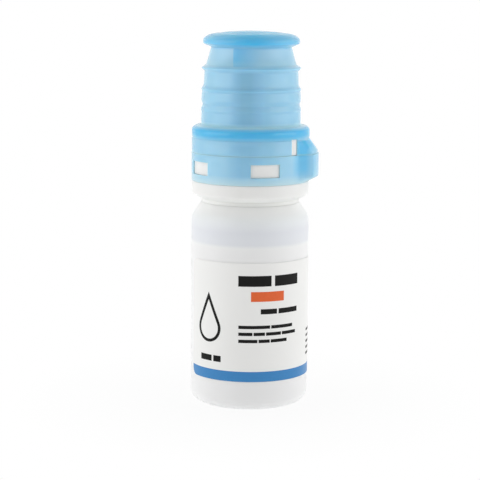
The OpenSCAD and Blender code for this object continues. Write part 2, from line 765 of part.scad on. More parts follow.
module outlet_pin() {
    cone_z = pin_cone_top_z - pin_cone_h - valve_clear;
    color(natural)
        rotate_extrude($fn = 48)
            polygon([[0, pin_flange_z], [pin_flange_r, pin_flange_z],
                     [pin_flange_r, pin_flange_z + pin_flange_t], [pin_r, pin_flange_z + pin_flange_t],
                     [pin_r, cone_z], [pin_r - pin_cone_h, cone_z + pin_cone_h], [0, cone_z + pin_cone_h]]);
}

module nozzle_tip() {
    seat_low_z = pin_cone_top_z - (tip_bore_r - outlet_r);
    color(natural)
        rotate_extrude($fn = 64)
            polygon(concat([[tip_bore_r, tip_plug_z], [tip_plug_r, tip_plug_z],
                            [tip_plug_r, nozzle_top_z + seat_clear],
                            [nozzle_top_r - plug_clear, nozzle_top_z + seat_clear]],
                           arc(nozzle_top_r - plug_clear - tip_round_r, tip_top_z - tip_round_r, tip_round_r,
                               tip_round_r, 0, 90, 8),
                           [[outlet_r, tip_top_z], [outlet_r, pin_cone_top_z], [tip_bore_r, seat_low_z]]));
}

// One rounded ring on the cap, from its root below to its root above
function cap_bead(share, root_share, half) =
    let (z = body_low_z + cap_body_h * share, root = cap_r * root_share)
    arc(root, z, cap_r * bead_tip_share - root, half, -75, 75, 8);

function cap_outline(shares) =
    [for (p = shares) [cap_r * p[1], body_low_z + cap_body_h * p[0]]];

module cap_shell() {
    shoulder_cr = cap_r + shoulder_flat;
    crown_r = disc_r - disc_edge_w + disc_edge_w * cos(crown_angle);
    crown_drop = disc_h - disc_edge_h * sin(crown_angle);
    outer = concat(
        [[ring_in_r, cap_low_z], [band_r - ring_edge, cap_low_z], [band_r, cap_low_z + ring_edge],
         [band_r, mid_top_z], [band_r - mid_groove_in, mid_top_z + mid_groove_h / 3],
         [band_r - mid_groove_in, mid_top_z + mid_groove_h * 2 / 3], [band_r, top_band_z]],
        arc(shoulder_cr, shoulder_z, band_r - shoulder_cr, shoulder_rise, 0, 90, 10),
        cap_outline(body_shares), cap_bead(low_bead_share, low_bead_root_share, low_bead_half),
        cap_outline(body_mid_shares), cap_bead(high_bead_share, high_bead_root_share, high_bead_half),
        cap_outline(body_top_shares),
        [[cap_r * body_top_shares[1][1], disc_root_z]],
        arc(disc_r - disc_lip, disc_wide_z, disc_lip, disc_lip_h, -90, 0, 4),
        arc(disc_r - disc_edge_w, disc_wide_z, disc_edge_w, disc_edge_h, disc_edge_from, crown_angle, 8),
        [for (t = [1 - crown_step : -crown_step : 0])
            [crown_r * t, disc_wide_z + disc_h - crown_drop * t * t]]);
    top_in_r = cap_r * body_top_shares[1][1] - cap_wall;
    high_in_r = cap_r * body_mid_shares[1][1] - cap_wall;
    low_in_r = cap_r * body_shares[4][1] - cap_wall;
    inner = [[0, cap_ceiling_z], [top_in_r, cap_ceiling_z],
             [cap_r * body_top_shares[0][1] - cap_wall, body_low_z + cap_body_h * body_top_shares[0][0]],
             [high_in_r, body_low_z + cap_body_h * body_mid_shares[1][0]],
             [high_in_r, body_low_z + cap_body_h * body_mid_shares[0][0]],
             [low_in_r, body_low_z + cap_body_h * body_shares[7][0]],
             [low_in_r, shoulder_z + shoulder_rise - cap_wall],
             [ring_in_r, head_rim_z + free_clear]];
    rotate_extrude() polygon(concat(outer, inner));
}

module cap() {
    tab_top_z = cap_low_z + tab_top_rise;
    color(cap_blue)
        difference() {
            union() {
                cap_shell();
                intersection() {
                    rotate_extrude()
                        polygon([[ring_in_r, cap_low_z], [tab_r - tab_cap_in, cap_low_z],
                                 [tab_r - tab_cap_in, cap_low_z + tab_face_h], [band_r, tab_top_z],
                                 [ring_in_r, tab_top_z]]);
                    translate([0, 0, cap_low_z]) linear_extrude(tab_top_rise) tab_plan();
                }
                translate([0, 0, sleeve_low_z])
                    difference() {
                        cylinder(r = sleeve_r, h = cap_ceiling_z - sleeve_low_z + disc_ceiling / 2);
                        translate([0, 0, -over])
                            cylinder(r = sleeve_in_r, h = cap_ceiling_z - sleeve_low_z + over);
                    }
            }
            for (side = [-1, 1])
                ring_sector(tab_azimuth + side * (tab_foot_angle() + notch_gap + notch_span / 2), notch_span,
                            ring_in_r - over, ring_r + over, cap_low_z - over, mid_top_z + mid_groove_h);
        }
}

module cap_seal() {
    pad_r = cap_seal_r - cap_seal_lip;
    color(natural_deep)
        rotate_extrude($fn = 64)
            polygon([[0, cap_seal_pad_z], [pad_r, cap_seal_pad_z], [pad_r, cap_seal_pad_z - cap_seal_lip_h],
                     [cap_seal_r, cap_seal_pad_z - cap_seal_lip_h], [cap_seal_r, cap_seal_top_z],
                     [0, cap_seal_top_z]]);
}

echo(return_spring_gap = coil_gap(spring_r, spring_wire_d, spring_low_z, spring_top_z, spring_turns));
echo(silver_spiral_gap = coil_gap(spiral_r, spiral_wire_d, spiral_low_z, spiral_top_z, spiral_turns));
echo(outlet_spring_gap =
    coil_gap(outlet_spring_r, outlet_wire_d, outlet_spring_low_z, outlet_spring_top_z, outlet_spring_turns));
echo(height = disc_wide_z + disc_h, ledge = ledge_z, rim = rim_z, collar_top = collar_top_z, deck = deck_z,
     head_rim = head_rim_z, ring = [ring_low_z, ring_top_z], cap_low = cap_low_z, body_low = body_low_z,
     disc_root = disc_root_z, ceiling = cap_ceiling_z, nozzle = [nozzle_z, nozzle_top_z, tip_top_z],
     ball = ball_z, cone = [cone_low_z, cone_top_z], barrel = [barrel_low_z, barrel_top_z]);

bottle();
label();
inner_bag();
neck_gasket();
snap_collar();
pump_cylinder();
intake_tube();
inlet_ball();
ball_retainer();
return_spring();
stem_guide();
piston_seal();
stem();
press_head();
tamper_ring();
nozzle();
silver_spiral();
spring_cup();
outlet_spring();
outlet_pin();
nozzle_tip();
cap();
cap_seal();
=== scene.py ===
"""Eye drop bottle: the looks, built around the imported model.
Lengths are millimetres until a mesh is made, and angles are degrees."""

import bmesh
import bpy
import math
from mathutils import Matrix, Vector


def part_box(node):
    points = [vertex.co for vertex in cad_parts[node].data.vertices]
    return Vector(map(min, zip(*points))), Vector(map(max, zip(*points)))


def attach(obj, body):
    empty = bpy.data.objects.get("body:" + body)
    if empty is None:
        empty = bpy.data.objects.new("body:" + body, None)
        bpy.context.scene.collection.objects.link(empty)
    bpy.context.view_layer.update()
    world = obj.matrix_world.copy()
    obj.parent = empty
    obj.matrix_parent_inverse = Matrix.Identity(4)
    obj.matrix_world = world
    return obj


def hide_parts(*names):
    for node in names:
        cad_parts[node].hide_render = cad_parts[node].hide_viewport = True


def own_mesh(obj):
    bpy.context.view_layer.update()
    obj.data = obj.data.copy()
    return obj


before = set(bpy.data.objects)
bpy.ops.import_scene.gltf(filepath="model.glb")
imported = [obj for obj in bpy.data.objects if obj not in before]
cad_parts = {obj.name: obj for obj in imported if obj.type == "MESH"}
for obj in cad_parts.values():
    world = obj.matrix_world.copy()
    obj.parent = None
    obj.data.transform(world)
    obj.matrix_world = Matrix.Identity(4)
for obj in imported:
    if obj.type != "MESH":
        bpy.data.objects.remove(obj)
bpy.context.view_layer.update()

MM = 0.001


# Where the frame puts each piece

def low(name):
    """Height of a node's lowest point."""
    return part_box(name)[0].z / MM


def high(name):
    """Height of a node's highest point."""
    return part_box(name)[1].z / MM


def reach(name):
    """A round node's outer radius, read along Y, where nothing sticks out."""
    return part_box(name)[1].y / MM


# Bottle
body_r = reach("bottle")
rim_z = high("bottle")
bottle_wall = 1.0
body_h = 45.0
body_rows_z = (12, 20, 28, 36)
base_round_w = 3.3
base_round_h = 2.9
dish_r = 8.5
dish_h = 0.9
dish_slope_w = 1.4
vent_r = 0.6
shoulder_r = 5.1
shoulder_slope = 36
shoulder_c = body_r - shoulder_r
collar_r = reach("snap_collar")
ledge_r = collar_r
ledge_z = low("snap_collar")
neck_r = 10.4
neck_in_r = 9.2
bead_r = neck_r + 0.35
bead_z = rim_z - 1.55
bead_foot_h = 1.1
bead_flat_h = 0.4

# The blow mould's marks: its parting line on both sides, and the pinched seam in the dish
parting_d = 0.03
parting_step = 0.4
pinch_from = 1.4
pinch_to = dish_r - dish_slope_w - 0.5
pinch_w = 0.5
pinch_h = 0.3

# Press head
head_bore_r = collar_r + 0.08
head_r = head_bore_r + 1.17
head_rim_wall = 1.1
flange_r = reach("press_head")
flange_lip = 0.35
flange_low_z = low("press_head")
flange_mid_z = flange_low_z + 1.15
flange_top_z = low("tamper_ring") - 0.05
head_rim_z = high("press_head")
deck_top_z = low("nozzle") - 0.05
deck_z = deck_top_z - 1.4
head_stroke = 0.9
hub_low_r = 3.37
hub_low_z = high("stem_guide") + head_stroke + 0.3
hub_r = 3.1
hub_top_z = deck_top_z + 2.35
hub_bore_r = 0.9
socket_r = 2.22
socket_top_z = high("stem") + 0.05
rib_in_r = 4.615
rib_w = 0.467
rib_h = 0.8

# Tamper ring and its windows
ring_in_r = head_r + 0.1
ring_r = reach("tamper_ring")
ring_low_z = low("tamper_ring")
ring_top_z = high("tamper_ring")
tab_azimuth = 78
window_azimuths = [tab_azimuth + offset for offset in (-138.2, -63.7, 63.7, 138.2)]
window_span = 29
window_low_z = ring_low_z + 1.85
window_high_z = window_low_z + 3.2
lug_r = ring_in_r + 0.78

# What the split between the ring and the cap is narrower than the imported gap
split_rise = 0.17

# Grip tab
tab_r = ring_r + 2.25
tab_w = 6.6
tab_flank = 51
tab_low_z = ring_low_z + 0.15
tab_full_z = tab_low_z + 1.2

# Cap
cap_low_z = low("cap")
cap_top_z = high("cap")
cap_r = 12.2
cap_wall = 1.1
band_r = reach("cap")
tab_face_z = cap_low_z + 0.6
mid_top_z = cap_low_z + 3.4
groove_w = 0.5
groove_d = 0.1
top_band_z = mid_top_z + groove_w
shoulder_z = top_band_z + 1.45
shoulder_rise = 1.3
shoulder_in_r = cap_r + 0.45
body_low_z = shoulder_z + shoulder_rise + 0.25
cap_body_h = 18.7
low_ridge_z = body_low_z + cap_body_h * 0.455
high_ridge_z = body_low_z + cap_body_h * 0.73
cone_top = 0.811
disc_root_z = body_low_z + cap_body_h
disc_wide_z = disc_root_z + 1.5
disc_r = 11.85
disc_edge_w = 2.5
disc_rim_share = 0.72
disc_point = 1.45
fine_ring_r = 6.45
fine_ring_half = 0.25
fine_ring_d = 0.16
gate_r = 0.7
gate_d = 0.1
ceiling_z = disc_wide_z + 0.6
rim_clear = 0.3
sleeve_r = 4.65
sleeve_in_r = 3.8
sleeve_low_z = high("nozzle") - 1.65
notch_span = 7.9
notch_gap = 1.9
key_r = ring_in_r + 0.9
key_clear = 0.06

# Label
label_low_z = low("label")
label_high_z = high("label")
label_in_r = body_r + 0.02
label_t = 0.05
label_start = -70.6
label_wrap = 330
label_corner = 2.0
ink_t = 0.02
stripe_inset = 0.02
stripe_top_z = label_low_z + 2.54


# Zones of the plastics: places whose colour differs, in the plastic itself or by painted light and
# shade. A zone holds a table for each way in which it
# has an extent: height, across (to the right), back, out (from the axis) or azimuth. A table's rows
# are (place, share), and the zone's share at a point is the product of its tables' shares there.

def hump(middle, half, fade):
    """A table that is full for a half width on each side of a middle, and then fades."""
    return [(middle - half - fade, 0.0), (middle - half, 1.0), (middle + half, 1.0),
            (middle + half + fade, 0.0)]


# Where light has far to go in the blue wall
thick_wall = {"height": [
    (ring_low_z, 0.0), (mid_top_z, 0.06), (top_band_z + 0.7, 0.9), (shoulder_z + 0.4, 1.0),
    (shoulder_z + 1.3, 0.2), (body_low_z + 0.5, 0.0), (low_ridge_z - 0.7, 0.0), (low_ridge_z, 0.1),
    (low_ridge_z + 0.7, 0.0), (high_ridge_z - 0.8, 0.0), (high_ridge_z, 0.1),
    (high_ridge_z + 0.8, 0.0), (disc_root_z - 0.6, 0.0), (disc_root_z + 0.5, 0.6),
    (disc_wide_z - 0.5, 1.0), (disc_wide_z + 0.8, 0.9), (cap_top_z, 0.85)]}

# The thick root of the grip tab, in the ring and in the cap
tab_root = {"azimuth": hump(tab_azimuth, 23.5, 12.0),
            "out": [(tab_r - 1.3, 1.0), (tab_r - 0.4, 0.3)],
            "height": [(ring_low_z, 0.0), (ring_low_z + 0.8, 0.1), (ring_low_z + 3.4, 0.7),
                       (cap_low_z - 0.2, 0.85), (cap_low_z + 0.5, 1.0), (mid_top_z - 0.2, 1.0),
                       (mid_top_z + 0.2, 0.0)]}

# Painted shade: the thin cone's front, from the sealing sleeve's upright edge on, is painted deeper
# blue, for the sleeve seen through it
sleeve_x = -4.35
sleeve_shade_painted = {"across": [(sleeve_x - 0.2, 0.0), (sleeve_x + 0.1, 0.6), (sleeve_x + 0.8, 0.6),
                            (sleeve_x + 7.2, 0.0)],
                 "back": [(-2.0, 1.0), (0.0, 0.0)],
                 "height": [(high_ridge_z + 0.4, 0.0), (high_ridge_z + 0.8, 1.0),
                            (disc_root_z - 0.2, 1.0), (disc_root_z + 0.2, 0.0)]}

# Painted light: the disc's left and right, where its rim is painted paler
disc_sides_painted_light = {"across": [(-0.9 * disc_r, 0.4), (-0.1 * disc_r, 0.0), (0.1 * disc_r, 0.0),
                         (0.9 * disc_r, 0.4)],
              "height": [(disc_root_z, 0.0), (disc_root_z + 0.5, 1.0)]}

# Painted light: where the white behind the blue wall would show through it, the wall is painted
# paler
light_behind_painted = {"height": [
    (ring_low_z, 0.8), (ring_low_z + 1.2, 0.5), (window_low_z + 0.4, 0.1), (shoulder_z + 0.7, 0.0),
    (high_ridge_z, 0.05), (high_ridge_z + 0.8, 0.25), (disc_root_z - 0.6, 0.3), (cap_top_z, 0.0)]}

# Painted shade: a darker band where the nozzle and the stem, seen through the blue wall, keep light
# from it
core_x = -1.2
core_shade_painted = {"across": hump(core_x, 1.0, 3.2),
               "height": [(ring_low_z + 1.2, 0.0), (window_low_z + 0.6, 0.5),
                          (mid_top_z - 1.2, 0.6), (mid_top_z - 0.5, 0.2), (body_low_z, 0.3),
                          (body_low_z + 0.8, 0.85), (high_ridge_z - 1.2, 0.85),
                          (high_ridge_z, 0.2), (disc_root_z, 0.0)]}

# Painted light: corners painted lighter, for the light that their two faces give each other
corners_painted_light = {"height": [
    (cap_low_z - 0.3, 0.0), (cap_low_z - 0.1, 0.4), (cap_low_z + 0.15, 0.4),
    (cap_low_z + 0.35, 0.0), (shoulder_z + 0.9, 0.0), (shoulder_z + 1.3, 0.9),
    (body_low_z + 0.2, 0.7), (body_low_z + 0.8, 0.0), (high_ridge_z + 0.2, 0.0),
    (high_ridge_z + 0.5, 0.4), (high_ridge_z + 1.3, 0.3), (high_ridge_z + 2.2, 0.0)]}

# Painted light: the walls of the windows and notches, painted paler for the white light that comes
# through from behind
openings_painted_light = {"out": [(band_r - 0.09, 0.9), (band_r - 0.03, 0.0)],
                 "height": [(mid_top_z - 0.1, 1.0), (mid_top_z, 0.0)]}

# How much the blue reflects head on: the crown's top is duller
blue_shine = {"height": [(disc_wide_z + 0.8, 0.5), (disc_wide_z + 1.6, 0.1)]}

# Painted shade: the bottle's wall between the label and the shoulder is painted a cooler grey, for
# the contents seen through it
painted_shoulder_shade = {"height": [(40.2, 0.0), (41.0, 0.7), (44.0, 0.8), (46.0, 0.5), (49.0, 0.1),
                            (50.0, 0.0)]}


# Meshes

def arc(cx, cz, rx, rz, start, end, steps):
    """Points of an arc or of part of an ellipse."""
    turns = [math.radians(start + (end - start) * i / steps) for i in range(steps + 1)]
    return [(cx + rx * math.cos(a), cz + rz * math.sin(a)) for a in turns]


def rounded(points, steps=4):
    """An outline whose points may carry a third value, the radius of their rounding."""
    made = []
    for i, point in enumerate(points):
        if len(point) < 3:
            made.append(point)
            continue
        here = Vector(point[:2])
        before = Vector(points[i - 1][:2]) - here
        after = Vector(points[(i + 1) % len(points)][:2]) - here
        half = before.angle(after) / 2
        trim = min(point[2] / math.tan(half), before.length * 0.49, after.length * 0.49)
        a, b = here + before.normalized() * trim, here + after.normalized() * trim
        for k in range(steps + 1):
            t = k / steps
            made.append(tuple(a * (1 - t) ** 2 + here * 2 * t * (1 - t) + b * t * t))
    return made


def around(azimuth, r, z):
    """The point at an azimuth, which runs from the front towards the right."""
    a = math.radians(azimuth)
    return (r * math.sin(a), -r * math.cos(a), z)


def in_scene(name, data):
    """A new object of some data, in the scene."""
    made = bpy.data.objects.new(name, data)
    bpy.context.scene.collection.objects.link(made)
    return made


def smooth(mesh, sharp):
    """Shades a mesh smooth, but for edges sharper than an angle."""
    mesh.shade_smooth()
    mesh.set_sharp_from_angle(angle=math.radians(sharp))


def finish_mesh(name, bm):
    """Turns a bmesh in millimetres into a finished object with outward normals."""
    bmesh.ops.remove_doubles(bm, verts=bm.verts, dist=0.0005)
    bmesh.ops.recalc_face_normals(bm, faces=bm.faces)
    bm.transform(Matrix.Scale(MM, 4))
    mesh = bpy.data.meshes.new(name)
    bm.to_mesh(mesh)
    bm.free()
    smooth(mesh, 35)
    return in_scene(name, mesh)


def steps_round(count, edges):
    """Azimuths all round, with a given few among them."""
    even = [360 * i / count - 180 for i in range(count)]
    wanted = [(e + 180) % 360 - 180 for e in edges]
    kept = [a for a in even if all(abs(a - w) > 120 / count for w in wanted)]
    return sorted(kept + wanted)


def turned(name, loop, azimuths, shape, cuts=()):
    """A closed outline turned about the axis. shape moves a point in or out at an azimuth, and each
    cut (first azimuth, last azimuth, outer rows, inner rows) opens the wall between those rows."""
    bm = bmesh.new()
    rows = len(loop)
    grid = [[bm.verts.new(around(a, shape(a, k, r, z), z)) for k, (r, z) in enumerate(loop)]
            for a in azimuths]

    def face(*corners):
        if len(set(corners)) > 2:
            bm.faces.new(corners)

    for i, a in enumerate(azimuths):
        j = (i + 1) % len(azimuths)
        middle = a + ((azimuths[j] - a) % 360) / 2
        opened = [c[2:] for c in cuts if (middle - c[0]) % 360 < (c[1] - c[0]) % 360]
        for k in range(rows):
            n = (k + 1) % rows
            if loop[k][0] == 0 and loop[n][0] == 0:
                continue
            if any(first <= k < last for pair in opened for first, last in pair):
                continue
            face(grid[i][k], grid[j][k], grid[j][n], grid[i][n])
        for outer, inner in opened:
            face(grid[i][outer[1]], grid[j][outer[1]], grid[j][inner[0]], grid[i][inner[0]])
            if outer[0] != inner[1] % rows:
                face(grid[i][outer[0]], grid[j][outer[0]], grid[j][inner[1]], grid[i][inner[1]])
    for start, end, outer, inner in cuts:
        for edge in (start, end):
            i = min(range(len(azimuths)),
                    key=lambda n: abs((azimuths[n] - edge + 180) % 360 - 180))
            rim = (k % rows for first, last in (outer, inner) for k in range(first, last + 1))
            bm.faces.new([grid[i][k] for k in dict.fromkeys(rim)])
    return finish_mesh(name, bm)


def evaluated(piece):
    """The mesh that a piece's modifiers make."""
    depsgraph = bpy.context.evaluated_depsgraph_get()
    return bpy.data.meshes.new_from_object(piece.evaluated_get(depsgraph))


def soften(piece, width):
    """Rounds a piece's hard edges, as a mould leaves them, and applies the result."""
    bevel = piece.modifiers.new("rounded_edges", "BEVEL")
    bevel.width = width * MM
    bevel.segments = 3
    bevel.limit_method = "ANGLE"
    bevel.angle_limit = math.radians(40)
    mesh = evaluated(piece)
    piece.modifiers.clear()
    piece.data = mesh
    smooth(mesh, 40)


def joined(name, pieces):
    """Several meshes as one piece."""
    bm = bmesh.new()
    for piece in pieces:
        bm.from_mesh(piece.data)
        bpy.data.objects.remove(piece)
    mesh = bpy.data.meshes.new(name)
    bm.to_mesh(mesh)
    bm.free()
    smooth(mesh, 40)
    return in_scene(name, mesh)


def dress(piece, finish, slot, body, *replaced):
    """Gives a piece its material and its body, and hides the nodes that it stands for; its slot is
    not used.
    """
    piece.data.materials.clear()
    piece.data.materials.append(finish)
    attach(piece, body)
    if replaced:
        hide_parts(*replaced)


# Nodes of materials and of geometry

def add(tree, kind, inputs=(), output=0, **settings):
    """Adds a node with its settings and links, and gives one of its outputs. The inputs are a list
    in the node's own order, or a dictionary."""
    made = tree.nodes.new(kind)
    for name, value in settings.items():
        setattr(made, name, value)
    for key, value in inputs.items() if isinstance(inputs, dict) else enumerate(inputs):
        if isinstance(value, bpy.types.NodeSocket):
            tree.links.new(value, made.inputs[key])
        else:
            made.inputs[key].default_value = value
    return made.outputs[output]


def paint(code):
    """A linear colour from sRGB hex."""
    values = [int(code[i:i + 2], 16) / 255 for i in (1, 3, 5)]
    return [v / 12.92 if v <= 0.04045 else ((v + 0.055) / 1.055) ** 2.4 for v in values] + [1.0]


def material(name, **sockets):
    """A material with one Principled shader, whose sockets have the given values."""
    made = bpy.data.materials.new(name)
    made.use_nodes = True
    shader = made.node_tree.nodes["Principled BSDF"]
    for key, value in sockets.items():
        shader.inputs[key.replace("_", " ")].default_value = value
    return made


def uneven(made, socket, size, first, second, detail=2):
    """Lets a socket of the shader wander between two values, in blobs of a size in millimetres.
    They are two colours, two roughnesses or, for the normal, two heights in millimetres."""
    tree = made.node_tree
    place = add(tree, "ShaderNodeTexCoord", output="Object")
    blobs = add(tree, "ShaderNodeTexNoise", {"Vector": place, "Scale": 1 / (size * MM),
                                             "Detail": detail})
    if socket == "Base Color":
        value = add(tree, "ShaderNodeMix", {0: blobs, 6: first, 7: second}, 2, data_type="RGBA")
    elif socket == "Roughness":
        # Nearly all of the noise lies between 0.3 and 0.7
        value = add(tree, "ShaderNodeMapRange", [blobs, 0.3, 0.7, first, second])
    else:
        value = add(tree, "ShaderNodeBump", {"Height": blobs, "Distance": (second - first) * MM})
    tree.links.new(value, tree.nodes["Principled BSDF"].inputs[socket])


def place_on(tree):
    """The ways in which zones have an extent, in metres and radians."""
    place = add(tree, "ShaderNodeTexCoord", output="Object")
    across, back, height = add(tree, "ShaderNodeSeparateXYZ", [place]).node.outputs
    flat = add(tree, "ShaderNodeVectorMath", [place, (1, 1, 0)], operation="MULTIPLY")
    out = add(tree, "ShaderNodeVectorMath", [flat], "Value", operation="LENGTH")
    front = add(tree, "ShaderNodeMath", [back, -1.0], operation="MULTIPLY")
    azimuth = add(tree, "ShaderNodeMath", [across, front], operation="ARCTAN2")
    return {"across": across, "back": back, "height": height, "out": out, "azimuth": azimuth}


def share_in(tree, place, zone):
    """A zone's share at a point. A table runs straight between its rows and level beyond them."""
    whole = None
    for way, table in zone.items():
        unit = math.radians(1) if way == "azimuth" else MM
        start, end = table[0][0], table[-1][0]
        along = add(tree, "ShaderNodeMapRange", [place[way], start * unit, end * unit, 0, 1])
        share = add(tree, "ShaderNodeFloatCurve", {"Value": along})
        mapping = share.node.mapping
        points = mapping.curves[0].points
        while len(points) < len(table):
            points.new(0.5, 0.5)
        for point, (at, amount) in zip(points, table):
            point.location = ((at - start) / (end - start), amount)
            point.handle_type = "VECTOR"
        mapping.update()
        if whole is not None:
            share = add(tree, "ShaderNodeMath", [whole, share], operation="MULTIPLY")
        whole = share
    return whole


def tinted(made, layers):
    """Lays colours over a material's own, each by its share."""
    tree = made.node_tree
    socket = tree.nodes["Principled BSDF"].inputs["Base Color"]
    colour = socket.links[0].from_socket
    for share, code in layers:
        colour = add(tree, "ShaderNodeMix", {0: share, 6: colour, 7: paint(code)}, 2,
                     data_type="RGBA")
    tree.links.new(colour, socket)


# Materials

def moulded(name, tint, tint_far, clear, milk, rough, deep, density):
    """A translucent moulding. clear is the share of light that goes straight through the wall, milk
    is how far in millimetres the rest wanders in it, and deep and density tint what goes far."""
    made = material(name, IOR=1.49, Transmission_Weight=clear, Subsurface_Weight=1.0,
                    Subsurface_Scale=milk * MM, Subsurface_Radius=(1.0, 1.0, 1.0))
    uneven(made, "Base Color", 9, paint(tint), paint(tint_far))
    uneven(made, "Roughness", 0.9, rough - 0.03, rough + 0.03)
    uneven(made, "Normal", 2.2, 0, 0.004, detail=1)
    tree = made.node_tree
    absorbed = add(tree, "ShaderNodeVolumeAbsorption", {"Color": paint(deep), "Density": density})
    tree.links.new(absorbed, tree.nodes["Material Output"].inputs["Volume"])
    return made


def blue_polypropylene():
    """Polypropylene tinted pale blue, injection moulded: milky in the wall, so that it looks softly
    lit from within, shiny at a grazing view, and a deeper blue where light has further to go. Over
    this, light and shade from the parts behind and beside it are painted into its colour."""
    made = moulded("blue_polypropylene", "#a1d9fa", "#a5dbfb", clear=0.1, milk=0.4, rough=0.2,
                   deep="#00dcff", density=40)
    tree = made.node_tree
    place = place_on(tree)
    deep = share_in(tree, place, thick_wall)
    # The cone's front zone is painted shade of the sleeve behind it
    for zone in (tab_root, sleeve_shade_painted):
        deep = add(tree, "ShaderNodeMath", [deep, share_in(tree, place, zone)], operation="MAXIMUM")
    # Painted light: less of the deeper blue on the disc's left and right
    full = add(tree, "ShaderNodeMath", [1.0, share_in(tree, place, disc_sides_painted_light)],
               operation="SUBTRACT")
    deep = add(tree, "ShaderNodeMath", [deep, full], operation="MULTIPLY")
    # Painted light in the corners, whose share also dulls their reflection
    corner = share_in(tree, place, corners_painted_light)
    # Painted light and shade over the blue: paler for the white behind, darker for the nozzle
    # behind, lighter in corners and on the openings' walls; the deeper blue is the thick wall's
    # own, and on the cone's front also painted shade of the sleeve
    tinted(made, [(share_in(tree, place, light_behind_painted), "#d2ecf2"),
                  (share_in(tree, place, core_shade_painted), "#8fc9e4"),
                  (deep, "#48c6fc"),
                  (corner, "#bee9ff"),
                  (share_in(tree, place, openings_painted_light), "#c2e8ff")])
    plain = add(tree, "ShaderNodeMath", [1.0, corner], operation="SUBTRACT")
    shine = add(tree, "ShaderNodeMath", [share_in(tree, place, blue_shine), plain],
                operation="MULTIPLY")
    tree.links.new(shine, tree.nodes["Principled BSDF"].inputs["Specular IOR Level"])
    return made


def natural_polyethylene(name, clear, tint="#fbfdfd", tint_far="#f9fbfb"):
    """Unpigmented low-density polyethylene: waxy and frosted, with light passing softly through."""
    return moulded(name, tint, tint_far, clear, milk=0.5, rough=0.45, deep="#e0e8ec", density=10)


def blown_polyethylene():
    """The bottle's low-density polyethylene, with painted shade of its contents between the label
    and the shoulder.
    """
    made = natural_polyethylene("natural_polyethylene_bottle", 0.04, "#f9fefd", "#f8fcfb")
    tree = made.node_tree
    # Painted shade: a cooler grey band between the label and the shoulder
    tinted(made, [(share_in(tree, place_on(tree), painted_shoulder_shade), "#e4e6ed")])
    return made


def label_film():
    """White polypropylene label film: smooth, a little shiny, and opaque."""
    made = material("white_label_film", Roughness=0.38, IOR=1.49)
    uneven(made, "Base Color", 14, paint("#efefed"), paint("#f3f3f1"))
    uneven(made, "Normal", 8, 0, 0.02, detail=1)
    return made


def ink(name, code, shine):
    """Flexographic ink on the film: a thin, even, slightly shiny layer with faint mottling."""
    made = material(name, Roughness=0.34, IOR=1.5, Specular_IOR_Level=shine)
    full = paint(code)
    thin = [min(1.0, c * 1.12 + 0.004) for c in full[:3]] + [1.0]
    uneven(made, "Base Color", 0.6, full, thin, detail=3)
    return made


def drawn_wire(name, code, rough):
    """Drawn metal wire: bright, with the fine unevenness that the die leaves."""
    made = material(name, Base_Color=paint(code), Metallic=1.0, Roughness=rough)
    uneven(made, "Roughness", 0.15, rough - 0.05, rough + 0.08)
    return made


def seal_rubber():
    """Grey elastomer: smooth and dull, slightly mottled."""
    made = material("grey_elastomer", Roughness=0.62, IOR=1.52)
    uneven(made, "Base Color", 0.5, paint("#7c858c"), paint("#868f96"), detail=3)
    uneven(made, "Normal", 0.3, 0, 0.01)
    return made


blue = blue_polypropylene()
natural = blown_polyethylene()
natural_head = natural_polyethylene("natural_polyethylene_moulded", 0.05, "#f8fbf5", "#f6f9f2")
natural_inner = natural_polyethylene("natural_polyethylene_inner", 0.05)
bag_film = natural_polyethylene("bag_film_clear", 0.6, "#f4f8fb", "#f2f6fa")
film = label_film()
black_ink = ink("black_ink", "#0e0e0d", 0.12)
orange_ink = ink("orange_ink", "#dd6434", 0.2)
blue_ink = ink("blue_ink", "#2c7ebb", 0.45)
steel = drawn_wire("stainless_wire", "#b9bdc1", 0.28)
silver = drawn_wire("silver_wire", "#e8e6e0", 0.18)
elastomer = seal_rubber()


# Bottle

def pinch_off(side):
    """Half of the seam that the closing mould pinches under a blown bottle."""
    bm = bmesh.new()
    shapes = []
    for share in (0, 0.08, 0.5, 0.92, 1):
        x = side * (pinch_from + (pinch_to - pinch_from) * share)
        sink = pinch_h * (0.15 if share in (0, 1) else 1)
        shapes.append([bm.verts.new((x, y * pinch_w / 2, dish_h + 0.1 - (sink + 0.1) * down))
                       for y, down in ((-1, 0), (-0.7, 0.7), (0, 1), (0.7, 0.7), (1, 0))])
    for near, far in zip(shapes, shapes[1:]):
        for n in range(5):
            m = (n + 1) % 5
            bm.faces.new((near[n], near[m], far[m], far[n]))
    bm.faces.new(shapes[0])
    bm.faces.new(shapes[-1])
    return finish_mesh("pinch_off", bm)


